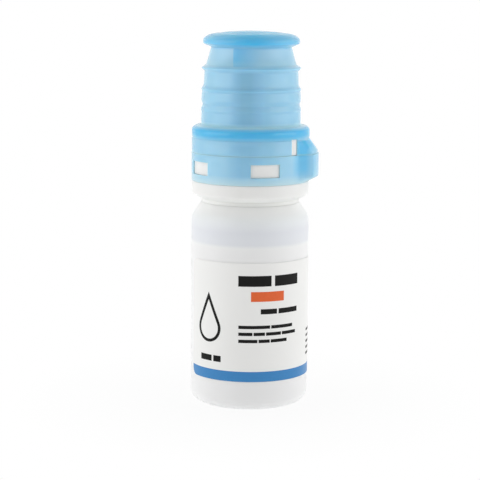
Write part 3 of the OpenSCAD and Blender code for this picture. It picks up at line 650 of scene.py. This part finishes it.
def make_bottle():
    """The blow-moulded bottle, with its inside, the dish and the vent hole under it."""
    wall = bottle_wall
    inner_r = shoulder_r - wall
    slope = math.radians(shoulder_slope)
    top_r = shoulder_c + inner_r * math.cos(slope)
    top_z = body_h + inner_r * math.sin(slope)
    flat_z = ledge_z - wall
    flat_r = top_r - (flat_z - top_z) * math.tan(slope)
    outside = [(vent_r, dish_h), (dish_r - dish_slope_w, dish_h, 0.8), (dish_r, 0, 0.35)]
    outside += arc(body_r - base_round_w, base_round_h, base_round_w, base_round_h, -90, 0, 16)
    outside += [(body_r, z) for z in body_rows_z]
    outside += arc(shoulder_c, body_h, shoulder_r, shoulder_r, 0, shoulder_slope, 12)
    outside += [(ledge_r, ledge_z, 0.25), (neck_r, ledge_z)]
    neck = [(neck_r, bead_z - bead_foot_h / 2), (bead_r, bead_z - bead_flat_h / 2, 0.1),
            (bead_r, bead_z + bead_flat_h / 2, 0.1), (neck_r, bead_z + bead_foot_h / 2),
            (neck_r, rim_z, 0.15), (neck_in_r, rim_z, 0.15)]
    inside = [(neck_in_r, flat_z), (flat_r, flat_z, 0.5)]
    inside += arc(shoulder_c, body_h, inner_r, inner_r, shoulder_slope, 0, 12)
    inside += arc(body_r - base_round_w, base_round_h, base_round_w - wall, base_round_h - wall,
                  0, -90, 12)
    inside += [(dish_r, wall, 0.6), (dish_r - dish_slope_w, wall + dish_h, 0.6),
               (vent_r, wall + dish_h)]
    loop = rounded(outside + neck + inside)
    foot = loop.index(min(loop[:20], key=lambda p: p[1]))
    last = loop.index((neck_r, ledge_z))

    def parting(azimuth, k, r, z):
        off = abs(abs(azimuth) - 90) / parting_step
        return r - parting_d if foot < k < last and 0.5 < off < 1.5 else r

    edges = [side * 90 + parting_step * n for side in (-1, 1) for n in (-2, -1, 0, 1, 2)]
    shell = turned("bottle_shell", loop, steps_round(240, edges), parting)
    made = joined("bottle_blown", [shell] + [pinch_off(side) for side in (-1, 1)])
    dress(made, natural, "natural_plastic", "bottle_body", "bottle")


# Label

def label_edges(azimuth, inset=0.0):
    """Lower and upper edge of the label at an azimuth, with its corners rounded."""
    along = min(azimuth - label_start, label_start + label_wrap - azimuth)
    from_edge = math.radians(along) * label_in_r - inset
    r = label_corner - inset
    rise = r - math.sqrt(max(0.0, r * r - max(0.0, r - from_edge) ** 2))
    return label_low_z + inset + rise, label_high_z - inset - rise


def on_label(s):
    """Azimuth of a place on the label, given in millimetres round it from the front."""
    return math.degrees(s / label_in_r)


def label_columns(inset=0.0):
    """Azimuths along the label, close together at its rounded ends."""
    first = label_start + on_label(inset)
    last = label_start + label_wrap - on_label(inset)
    corner = [on_label(label_corner * (1 - math.cos(math.radians(a)))) for a in range(10, 91, 10)]
    plain = last - first - 2 * corner[-1]
    middle = [first + corner[-1] + plain * i / 120 for i in range(1, 120)]
    return ([first + 0.01] + [first + c for c in corner] + middle
            + [last - c for c in corner[::-1]] + [last - 0.01])


def strip(name, columns, in_r, thickness):
    """A thin closed sheet round the bottle. Each column is an azimuth and its heights."""
    bm = bmesh.new()
    shells = []
    for r in (in_r, in_r + thickness):
        shells.append([[bm.verts.new(around(a, r, z)) for z in heights] for a, heights in columns])
    inner, outer = shells
    last_row = len(columns[0][1]) - 1
    for i in range(len(columns) - 1):
        for k in range(last_row):
            bm.faces.new((outer[i][k], outer[i + 1][k], outer[i + 1][k + 1], outer[i][k + 1]))
            bm.faces.new((inner[i][k + 1], inner[i + 1][k + 1], inner[i + 1][k], inner[i][k]))
        for k in (0, last_row):
            bm.faces.new((inner[i][k], inner[i + 1][k], outer[i + 1][k], outer[i][k]))
    for i in (0, len(columns) - 1):
        for k in range(last_row):
            bm.faces.new((inner[i][k], inner[i][k + 1], outer[i][k + 1], outer[i][k]))
    return finish_mesh(name, bm)


def make_label():
    """The label, which wraps most of the way round, and the plain stripe along its lower edge."""
    columns = []
    for a in label_columns():
        bottom, top = label_edges(a)
        columns.append((a, [bottom + (top - bottom) * k / 8 for k in range(9)]))
    made = strip("label_film_sheet", columns, label_in_r, label_t)
    dress(made, film, "label_film", "bottle_body", "label")
    columns = []
    for a in label_columns(stripe_inset):
        bottom = label_edges(a, stripe_inset)[0]
        columns.append((a, [bottom + (stripe_top_z - bottom) * k / 2 for k in range(3)]))
    made = strip("label_stripe", columns, label_in_r + label_t, ink_t)
    dress(made, blue_ink, "label_film", "bottle_body")


# Geometry trees

def start_tree(name, inputs):
    """A geometry tree with named inputs. Gives it and its input sockets."""
    tree = bpy.data.node_groups.new(name, "GeometryNodeTree")
    face = tree.interface
    face.new_socket("Geometry", in_out="OUTPUT", socket_type="NodeSocketGeometry")
    for label, kind in inputs.items():
        face.new_socket(label, in_out="INPUT", socket_type="NodeSocket" + kind)
    return tree, tree.nodes.new("NodeGroupInput").outputs


def end_tree(tree, geometry, finish):
    """Ends a geometry tree in plain geometry of one material."""
    whole = add(tree, "GeometryNodeRealizeInstances", [geometry])
    dressed = add(tree, "GeometryNodeSetMaterial", {"Geometry": whole, "Material": finish})
    tree.links.new(dressed, tree.nodes.new("NodeGroupOutput").inputs["Geometry"])
    return tree


def from_tree(name, tree, values):
    """One plain mesh made by a geometry tree with the named inputs."""
    holder = in_scene(name + "_holder", bpy.data.meshes.new(name + "_holder"))
    modifier = holder.modifiers.new("tree", "NODES")
    modifier.node_group = tree
    for item in tree.interface.items_tree:
        if item.in_out == "INPUT":
            modifier[item.identifier] = values[item.name]
    mesh = evaluated(holder)
    mesh.name = name
    bpy.data.objects.remove(holder)
    return in_scene(name, mesh)


def bar_tree():
    """A geometry tree that prints a line of plain bars round the label."""
    tree, given = start_tree("printed_line", {
        "Bars": "Int", "Line length": "Float", "Bar height": "Float", "Gap": "Float",
        "Ink thickness": "Float", "Label radius": "Float", "Start angle": "Float", "Base": "Float",
        "Seed": "Int", "Ink": "Material"})
    share = add(tree, "FunctionNodeRandomValue", {2: 0.6, 3: 1.5, "Seed": given["Seed"]}, 1)
    running = add(tree, "GeometryNodeAccumulateField", [share]).node.outputs
    # The bars' widths share what the gaps leave of the line
    between = add(tree, "ShaderNodeMath", [given["Bars"], 1.0], operation="SUBTRACT")
    gaps = add(tree, "ShaderNodeMath", [given["Gap"], between], operation="MULTIPLY")
    inked = add(tree, "ShaderNodeMath", [given["Line length"], gaps], operation="SUBTRACT")
    unit = add(tree, "ShaderNodeMath", [inked, running["Total"]], operation="DIVIDE")
    width = add(tree, "ShaderNodeMath", [share, unit], operation="MULTIPLY")
    # A bar starts after the bars and the gaps before it
    before = add(tree, "ShaderNodeMath", [running["Trailing"], unit], operation="MULTIPLY")
    start = add(tree, "ShaderNodeMath", [add(tree, "GeometryNodeInputIndex"), given["Gap"], before],
                operation="MULTIPLY_ADD")
    middle = add(tree, "ShaderNodeMath", [width, 0.5, start], operation="MULTIPLY_ADD")
    line = add(tree, "GeometryNodeMeshLine", {"Count": given["Bars"]})
    spot = add(tree, "ShaderNodeCombineXYZ", [middle])
    placed = add(tree, "GeometryNodeSetPosition", {"Geometry": line, "Position": spot})
    bar = add(tree, "GeometryNodeMeshCube", {"Vertices X": 10})
    size = add(tree, "ShaderNodeCombineXYZ", [width, given["Ink thickness"], given["Bar height"]])
    bars = add(tree, "GeometryNodeInstanceOnPoints", {"Points": placed, "Instance": bar,
                                                      "Scale": size})
    flat = add(tree, "GeometryNodeRealizeInstances", [bars])
    # The flat line is moved to the front of the label and turned round the axis by its own length
    place = add(tree, "GeometryNodeInputPosition")
    along, back, up = add(tree, "ShaderNodeSeparateXYZ", [place]).node.outputs
    turn = add(tree, "ShaderNodeMath", [along, given["Label radius"]], operation="DIVIDE")
    angle = add(tree, "ShaderNodeMath", [given["Start angle"], turn], operation="ADD")
    front = add(tree, "ShaderNodeMath", [back, given["Label radius"]], operation="SUBTRACT")
    height = add(tree, "ShaderNodeMath", [up, given["Base"]], operation="ADD")
    spot = add(tree, "ShaderNodeCombineXYZ", [0.0, front, height])
    wrapped = add(tree, "ShaderNodeVectorRotate", {"Vector": spot, "Angle": angle},
                  rotation_type="Z_AXIS")
    bent = add(tree, "GeometryNodeSetPosition", {"Geometry": flat, "Position": wrapped})
    return end_tree(tree, bent, given["Ink"])


def coil_tree():
    """A geometry tree that winds one round wire along a helix."""
    tree, given = start_tree("wound_wire", {
        "Turns": "Float", "Coil radius": "Float", "Wire radius": "Float", "Rise": "Float",
        "Foot": "Float", "Wire": "Material"})
    helix = add(tree, "GeometryNodeCurveSpiral", {
        "Resolution": 48, "Rotations": given["Turns"], "Start Radius": given["Coil radius"],
        "End Radius": given["Coil radius"], "Height": given["Rise"]})
    wire = add(tree, "GeometryNodeCurvePrimitiveCircle", {"Resolution": 14,
                                                          "Radius": given["Wire radius"]})
    tube = add(tree, "GeometryNodeCurveToMesh", {"Curve": helix, "Profile Curve": wire,
                                                 "Fill Caps": True})
    lift = add(tree, "ShaderNodeCombineXYZ", {"Z": given["Foot"]})
    placed = add(tree, "GeometryNodeSetPosition", {"Geometry": tube, "Offset": lift})
    return end_tree(tree, placed, given["Wire"])


# Printed marks: lines of plain bars, and a plain drop

bar_gap = 0.35


def printed(tree, lines, finish):
    """Lines of bars, each (start round the label, length, base height, bar height, bars, seed)."""
    made = []
    for n, (start, length, base, tall, bars, seed) in enumerate(lines):
        made.append(from_tree(f"line_{n}", tree, {
            "Bars": bars, "Line length": length * MM, "Bar height": tall * MM,
            "Gap": tall * bar_gap * MM, "Ink thickness": ink_t * MM,
            "Label radius": (label_in_r + label_t + ink_t / 2) * MM,
            "Start angle": start / label_in_r, "Base": (base + tall / 2) * MM, "Seed": seed,
            "Ink": finish}))
    return made


def drop_outline(r, tall, steps=20):
    """A drop: a round foot of radius r with a point above it."""
    reach_up = tall - r
    tangent = math.degrees(math.asin(r / reach_up))
    foot = arc(0, 0, r, r, 180 - tangent, 360 + tangent, steps)
    side = [(foot[0][0] * t / steps, reach_up + (foot[0][1] - reach_up) * t / steps)
            for t in range(steps)]
    return side + foot + [(-x, y) for x, y in side[:0:-1]]


def drop_mark(name, s, z, r, tall, stroke):
    """A plain drop drawn in line, wrapped round the label."""
    bm = bmesh.new()
    outside = drop_outline(r, tall)
    share = (r - stroke) / r
    inside = [(x * share, y * share) for x, y in outside]
    layers = []
    for radius in (label_in_r + label_t, label_in_r + label_t + ink_t):
        layers.append([[bm.verts.new(around(on_label(s + x), radius, z + y)) for x, y in ring]
                       for ring in (outside, inside)])
    (low_out, low_in), (top_out, top_in) = layers
    count = len(outside)
    for i in range(count):
        j = (i + 1) % count
        bm.faces.new((top_out[i], top_out[j], top_in[j], top_in[i]))
        bm.faces.new((low_in[i], low_in[j], low_out[j], low_out[i]))
        bm.faces.new((low_out[i], low_out[j], top_out[j], top_out[i]))
        bm.faces.new((low_in[j], low_in[i], top_in[i], top_in[j]))
    return finish_mesh(name, bm)


black_lines = [
    (-2.8, 16.2, 31.05, 2.6, 2, 3),
    (2.7, 10.5, 24.25, 1.25, 2, 5),
    (-2.7, 14.3, 20.65, 0.8, 2, 7),
    (-2.7, 15.4, 18.95, 0.8, 4, 11),
    (-2.7, 12.5, 17.2, 0.8, 3, 13),
    (-13.6, 6.4, 12.05, 1.5, 2, 4),
]
black_lines += [(18.6, 22 - 3 * (n % 2), 18.3 - 1.5 * n, 0.6, 5, 20 + n) for n in range(5)]
orange_lines = [(0.3, 8.5, 27.35, 2.4, 1, 2)]


def print_label():
    """The black and the orange marks, each colour as one piece."""
    tree = bar_tree()
    black = printed(tree, black_lines, black_ink)
    black.append(drop_mark("drop", -10.9, 20.3, 3.6, 12.4, 0.75))
    dress(joined("label_print_black", black), black_ink, "label_film", "bottle_body")
    orange = printed(tree, orange_lines, orange_ink)
    dress(joined("label_print_orange", orange), orange_ink, "label_film", "bottle_body")


# Grip tab in plan, and the cap's notches beside it

def tab_edge(azimuth):
    """How far out the tab's plan reaches at an azimuth."""
    off = math.radians(abs((azimuth - tab_azimuth + 180) % 360 - 180))
    c = 1 / math.tan(math.radians(tab_flank))
    flank = (tab_w / 2 + tab_r * c) / (math.sin(off) + c * math.cos(off))
    return min(tab_r, flank) if off < math.radians(60) else 0.0


def tab_foot():
    """How far round from the tab's middle its plan meets the ring."""
    return next(a / 50 for a in range(3000) if tab_edge(tab_azimuth + a / 50) < ring_r)


def tab_azimuths():
    """Azimuths across the tab, close together, with the corners of its plan."""
    foot = tab_foot()
    corner = math.degrees(math.asin(tab_w / 2 / tab_r))
    places = [foot + 0.01, corner] + [corner * i / 5 for i in range(5)]
    places += [corner + (foot - corner) * i / 8 for i in range(1, 8)]
    return [tab_azimuth + side * p for p in places for side in ((-1, 1) if p else (1,))]


def notch_azimuths():
    """Middles of the cap's two notches, one on each side of the tab."""
    off = tab_foot() + notch_gap + notch_span / 2
    return [tab_azimuth - off, tab_azimuth + off]


# Press head

def make_head():
    """The head's skirt, finger flange, rim and deck, with a lug for each window of the ring and a
    key for each notch of the cap."""
    rim_in_r = head_r - head_rim_wall
    lug_z = (window_low_z, window_high_z)
    key_z = (cap_low_z + key_clear, top_band_z - key_clear)
    skirt = [(head_r, flange_top_z)]
    skirt += [(head_r, z) for z in (*lug_z, *key_z) for twice in range(2)]
    skirt += [(head_r, head_rim_z, 0.2), (rim_in_r, head_rim_z, 0.2)]
    foot = [(head_bore_r, flange_low_z), (head_bore_r + flange_lip, flange_low_z, 0.1),
            (flange_r, flange_mid_z, 0.45), (flange_r, flange_top_z, 0.25)]
    deck = [(rim_in_r, deck_top_z, 0.5), (hub_r, deck_top_z, 0.3), (hub_r, hub_top_z, 0.15),
            (hub_bore_r, hub_top_z), (hub_bore_r, socket_top_z), (socket_r, socket_top_z),
            (socket_r, hub_low_z), (hub_low_r, hub_low_z, 0.2), (hub_low_r, deck_z, 0.3),
            (rib_in_r, deck_z), (rib_in_r, deck_z - rib_h, 0.15),
            (rib_in_r + rib_w, deck_z - rib_h, 0.15), (rib_in_r + rib_w, deck_z),
            (head_bore_r, deck_z, 0.4)]
    loop = rounded(foot + skirt + deck)
    key_span = notch_span - 2 * math.degrees(key_clear / ring_in_r)
    raised = []
    for places, span, heights, out in ((window_azimuths, window_span, lug_z, lug_r),
                                       (notch_azimuths(), key_span, key_z, key_r)):
        rows = [k for k, (r, z) in enumerate(loop) if r == head_r and z in heights][1:3]
        raised += [(a, span / 2, rows, out) for a in places]
    edges = [a + side * (half + step) for a, half, rows, out in raised for side in (-1, 1)
             for step in (0, 0.2)]

    def lug(azimuth, k, r, z):
        for a, half, rows, out in raised:
            if k in rows and abs((azimuth - a + 180) % 360 - 180) <= half + 0.1:
                return out
        return r

    made = turned("press_head_moulded", loop, steps_round(180, edges), lug)
    dress(made, natural_head, "natural_plastic", "head", "press_head")


# Tamper ring

def make_ring():
    """The tamper ring, with four windows and the lower part of the grip tab."""
    top_z = ring_top_z + split_rise
    tab_rows = (tab_full_z, window_low_z, window_high_z, top_z)
    outside = [(ring_r, z) for z in (ring_low_z, tab_low_z, *tab_rows)]
    inside = [(ring_in_r, z) for z in (top_z, window_high_z, window_low_z, ring_low_z)]

    def tab(azimuth, k, r, z):
        return max(r, tab_edge(azimuth)) if k < len(outside) and z in tab_rows else r

    half = window_span / 2
    edges = tab_azimuths() + [a + side * half for a in window_azimuths for side in (-1, 1)]
    cuts = [(a - half, a + half, (3, 4), (7, 8)) for a in window_azimuths]
    made = turned("tamper_ring_moulded", outside + inside, steps_round(180, edges), tab, cuts)
    soften(made, 0.03)
    dress(made, blue, "blue_plastic", "head", "tamper_ring")


# Cap

def share_points(shares):
    """Points of the cap's body from shares of its height and radius."""
    return [(cap_r * out, body_low_z + cap_body_h * up) for up, out in shares]


def ridge(z, root_below, root_above, half_below, half_above):
    """A ridge round the cap: it rises to a rounded edge at the cap's widest."""
    return [(cap_r * root_below, z - half_below, 0.3), (cap_r * 1.006, z, 0.22),
            (cap_r * root_above, z + half_above, 0.4)]


def cap_disc():
    """The crowned disc's outline, from its root out to the rim and in to the gate's dimple."""
    made = [(cap_r * cone_top, disc_root_z, 0.3)]
    made += arc(disc_r - 0.2, disc_wide_z, 0.2, 0.7, -90, 0, 5)
    rim_h = (cap_top_z - disc_wide_z) * disc_rim_share
    for angle in (math.radians(15 + 6.5 * i) for i in range(11)):
        made.append((disc_r - disc_edge_w * (1 - math.cos(angle) ** disc_point),
                     disc_wide_z + rim_h * math.sin(angle)))
    crown_r, crown_z = made[-1]

    def crown(r, sunk=0.0):
        return r, cap_top_z - (cap_top_z - crown_z) * (r / crown_r) ** 2 - sunk

    made += [crown(r) for r in (8.4, 7.4)]
    for step, sunk in ((1, 0.0), (0, fine_ring_d), (-1, 0.0)):
        made.append(crown(fine_ring_r + step * fine_ring_half, sunk) + (0.08,))
    made += [crown(r) for r in (5.2, 4.0, 2.6, 1.2)]
    return made + [(gate_r, cap_top_z - 0.02), (gate_r - 0.15, cap_top_z - gate_d, 0.05),
                   (0, cap_top_z - gate_d)]


def make_cap():
    """The pull-off cap: bands, shoulder, ridged body and disc, with the sealing sleeve inside."""
    band = [(band_r, cap_low_z), (band_r, tab_face_z), (band_r, mid_top_z)]
    groove = [(band_r - groove_d, mid_top_z + groove_w * share, 0.1) for share in (0.34, 0.66)]
    groove += [(band_r, top_band_z)]
    shoulder = arc(shoulder_in_r, shoulder_z, band_r - shoulder_in_r, shoulder_rise, 0, 90, 12)
    body = [(r, z, 0.4) for r, z in share_points([
        (0, 1.004), (0.16, 1), (0.19, 1.008), (0.215, 0.995), (0.257, 0.975), (0.298, 0.995),
        (0.32, 1), (0.41, 0.99)])]
    body += ridge(low_ridge_z, 0.985, 0.965, 0.6, 0.7)
    body += [(r, z, 0.5) for r, z in share_points([(0.52, 0.955), (0.68, 0.941)])]
    body += ridge(high_ridge_z, 0.945, 0.915, 0.75, 0.75)
    body += share_points([(0.78, 0.903), (0.99, cone_top)])
    inside = [(0, ceiling_z), (sleeve_in_r, ceiling_z, 0.2), (sleeve_in_r, sleeve_low_z, 0.2),
              (sleeve_r, sleeve_low_z, 0.2), (sleeve_r, ceiling_z, 0.3),
              (cap_r * cone_top - cap_wall, ceiling_z, 0.4)]
    inside += [(r - cap_wall, z, 0.4) for r, z in share_points([
        (0.78, 0.903), (0.68, 0.941), (0.52, 0.941), (0.41, 0.975)])]
    inside += [(cap_r * 0.975 - cap_wall, shoulder_z + shoulder_rise - cap_wall, 0.4)]
    inner_low = [(ring_in_r, z) for z in (head_rim_z + rim_clear, top_band_z, cap_low_z)]
    loop = band + rounded(groove + shoulder + body + cap_disc() + inside) + inner_low
    rows = len(loop)

    def tab(azimuth, k, r, z):
        return max(r, min(tab_edge(azimuth), tab_r - 0.3)) if k < 2 else r

    groove_top = loop.index((band_r, top_band_z))
    notches = [(a - notch_span / 2, a + notch_span / 2, (0, groove_top), (rows - 2, rows))
               for a in notch_azimuths()]
    edges = tab_azimuths() + [a for n in notches for a in n[:2]]
    made = turned("cap_moulded", loop, steps_round(180, edges), tab, notches)
    soften(made, 0.05)
    dress(made, blue, "blue_plastic", "cap", "cap")


# Springs and the silver spiral

def wind(name, tree, node, wire_d, turns, finish, slot, body, joint=None):
    """A coil in the place of a node, read from the node's box. With a joint, it gets a mesh of its
    own.
    """
    low_z, high_z = low(node), high(node)
    outer_r = min(-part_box(node)[0].x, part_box(node)[1].x) / MM
    made = from_tree(name, tree, {
        "Turns": turns, "Coil radius": (outer_r - wire_d / 2) * MM, "Wire radius": wire_d / 2 * MM,
        "Rise": (high_z - low_z - wire_d) * MM, "Foot": (low_z + wire_d / 2) * MM, "Wire": finish})
    smooth(made.data, 50)
    dress(made, finish, slot, body, node)
    if joint:
        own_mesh(made)


def make_coils():
    """The head's return spring, the spiral in the nozzle and the outlet valve's spring."""
    tree = coil_tree()
    wind("return_spring_wire", tree, "return_spring", 0.8, 5.0, steel, "spring_steel",
         "bottle_body", "head_press")
    wind("silver_spiral_wire", tree, "silver_spiral", 0.45, 8.0, silver, "silver_wire", "head")
    wind("outlet_spring_wire", tree, "outlet_spring", 0.25, 3.0, steel, "spring_steel", "head",
         "pin_open")


make_bottle()
make_label()
print_label()
make_head()
make_ring()
make_cap()
make_coils()

# Nodes whose shape stays, with their finish
kept_nodes = {
    natural_inner: ("pump_cylinder", "intake_tube", "ball_retainer", "stem_guide", "stem", "nozzle",
                    "spring_cup", "outlet_pin", "nozzle_tip", "cap_seal"),
    natural_head: ("snap_collar",),
    elastomer: ("neck_gasket", "piston_seal"),
    steel: ("inlet_ball",),
    bag_film: ("inner_bag",),
}
for finish, nodes in kept_nodes.items():
    for node in nodes:
        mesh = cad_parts[node].data
        mesh.materials.clear()
        mesh.materials.append(finish)


# Camera, as the photograph was taken

camera_distance = 415.2
camera_height = 103.75
camera_side = -2.46
camera_pitch = 8.70
camera_roll = 0.44
focal_pixels = 1690
frame_pixels = 480
sensor = 36.0


def make_camera():
    """The camera, which looks a little down at the bottle's front."""
    data = bpy.data.cameras.new("camera")
    data.sensor_width = sensor
    data.lens = focal_pixels / frame_pixels * sensor
    data.clip_start = 0.01
    made = in_scene("camera", data)
    tilt = Matrix.Rotation(math.radians(90 - camera_pitch), 4, "X")
    roll = Matrix.Rotation(math.radians(camera_roll), 4, "Z")
    place = Vector((camera_side, -camera_distance, camera_height)) * MM
    made.matrix_world = Matrix.Translation(place) @ tilt @ roll
    bpy.context.scene.camera = made


# Studio: two side lamps and a white surround

lamp_azimuth = 72
lamp_elevation = 8
lamp_distance = 420
lamp_aim_z = 45
lamp_w = 420
lamp_h = 400
shadow_from, shadow_to = 14, 60


def lamp(name, azimuth, power):
    """A soft rectangular lamp that faces the middle of the bottle."""
    data = bpy.data.lights.new(name, "AREA")
    data.shape = "RECTANGLE"
    data.size, data.size_y = lamp_w * MM, lamp_h * MM
    data.energy = power
    made = in_scene(name, data)
    a, e = math.radians(azimuth), math.radians(lamp_elevation)
    out = Vector((math.sin(a) * math.cos(e), -math.cos(a) * math.cos(e), math.sin(e)))
    made.location = out * (lamp_distance * MM) + Vector((0, 0, lamp_aim_z * MM))
    made.rotation_euler = out.to_track_quat("Z", "Y").to_euler()


def white_when_seen(tree, lit, seen=1.0):
    """A strength that is white to the camera, in reflections and through clear pieces, and lit
    elsewhere."""
    rays = add(tree, "ShaderNodeLightPath").node.outputs
    white = rays["Is Camera Ray"]
    for kind in ("Is Glossy Ray", "Is Transmission Ray"):
        white = add(tree, "ShaderNodeMath", [white, rays[kind]], operation="MAXIMUM")
    direct = add(tree, "ShaderNodeMath", [rays["Diffuse Depth"], 0.5], operation="LESS_THAN")
    white = add(tree, "ShaderNodeMath", [white, direct], operation="MULTIPLY")
    return add(tree, "ShaderNodeMix", {0: white, 2: lit, 3: seen}, data_type="FLOAT")


def make_studio():
    """The lamps, the white world and the floor, which keeps the bottle's shadow."""
    world = bpy.data.worlds.new("white_studio")
    bpy.context.scene.world = world
    world.use_nodes = True
    tree = world.node_tree
    background = tree.nodes["Background"].inputs
    # The lit backdrop is behind the bottle, and the dark of the room in front of it
    way = add(tree, "ShaderNodeTexCoord", output="Generated")
    back = add(tree, "ShaderNodeSeparateXYZ", [way], "Y")
    lit = add(tree, "ShaderNodeMapRange", [back, -1, 1, 0.25, 1.15])
    tree.links.new(white_when_seen(tree, lit), background["Strength"])
    background["Color"].default_value = (1, 1, 1, 1)
    lamp("left_lamp", -lamp_azimuth, 0.8)
    lamp("right_lamp", lamp_azimuth, 0.75)
    bpy.ops.mesh.primitive_plane_add(size=12)
    floor = bpy.context.object
    floor.name = "floor"
    made = material("pale_floor", Base_Color=paint("#f6f6f6"), Roughness=0.9)
    tree = made.node_tree
    glow = add(tree, "ShaderNodeEmission", {"Color": (1, 1, 1, 1), "Strength": 1.0})
    place = add(tree, "ShaderNodeTexCoord", output="Object")
    away = add(tree, "ShaderNodeVectorMath", [place], "Value", operation="LENGTH")
    seen = add(tree, "ShaderNodeMapRange", [away, shadow_from * MM, shadow_to * MM, 0.88, 1.0])
    share = white_when_seen(tree, 0.55, seen)
    matt = tree.nodes["Principled BSDF"].outputs[0]
    surface = add(tree, "ShaderNodeMixShader", [share, matt, glow])
    tree.links.new(surface, tree.nodes["Material Output"].inputs["Surface"])
    floor.data.materials.append(made)


make_camera()
make_studio()
scene = bpy.context.scene
scene.view_settings.view_transform = "Standard"
scene.cycles.max_bounces = 20
scene.cycles.transmission_bounces = 20
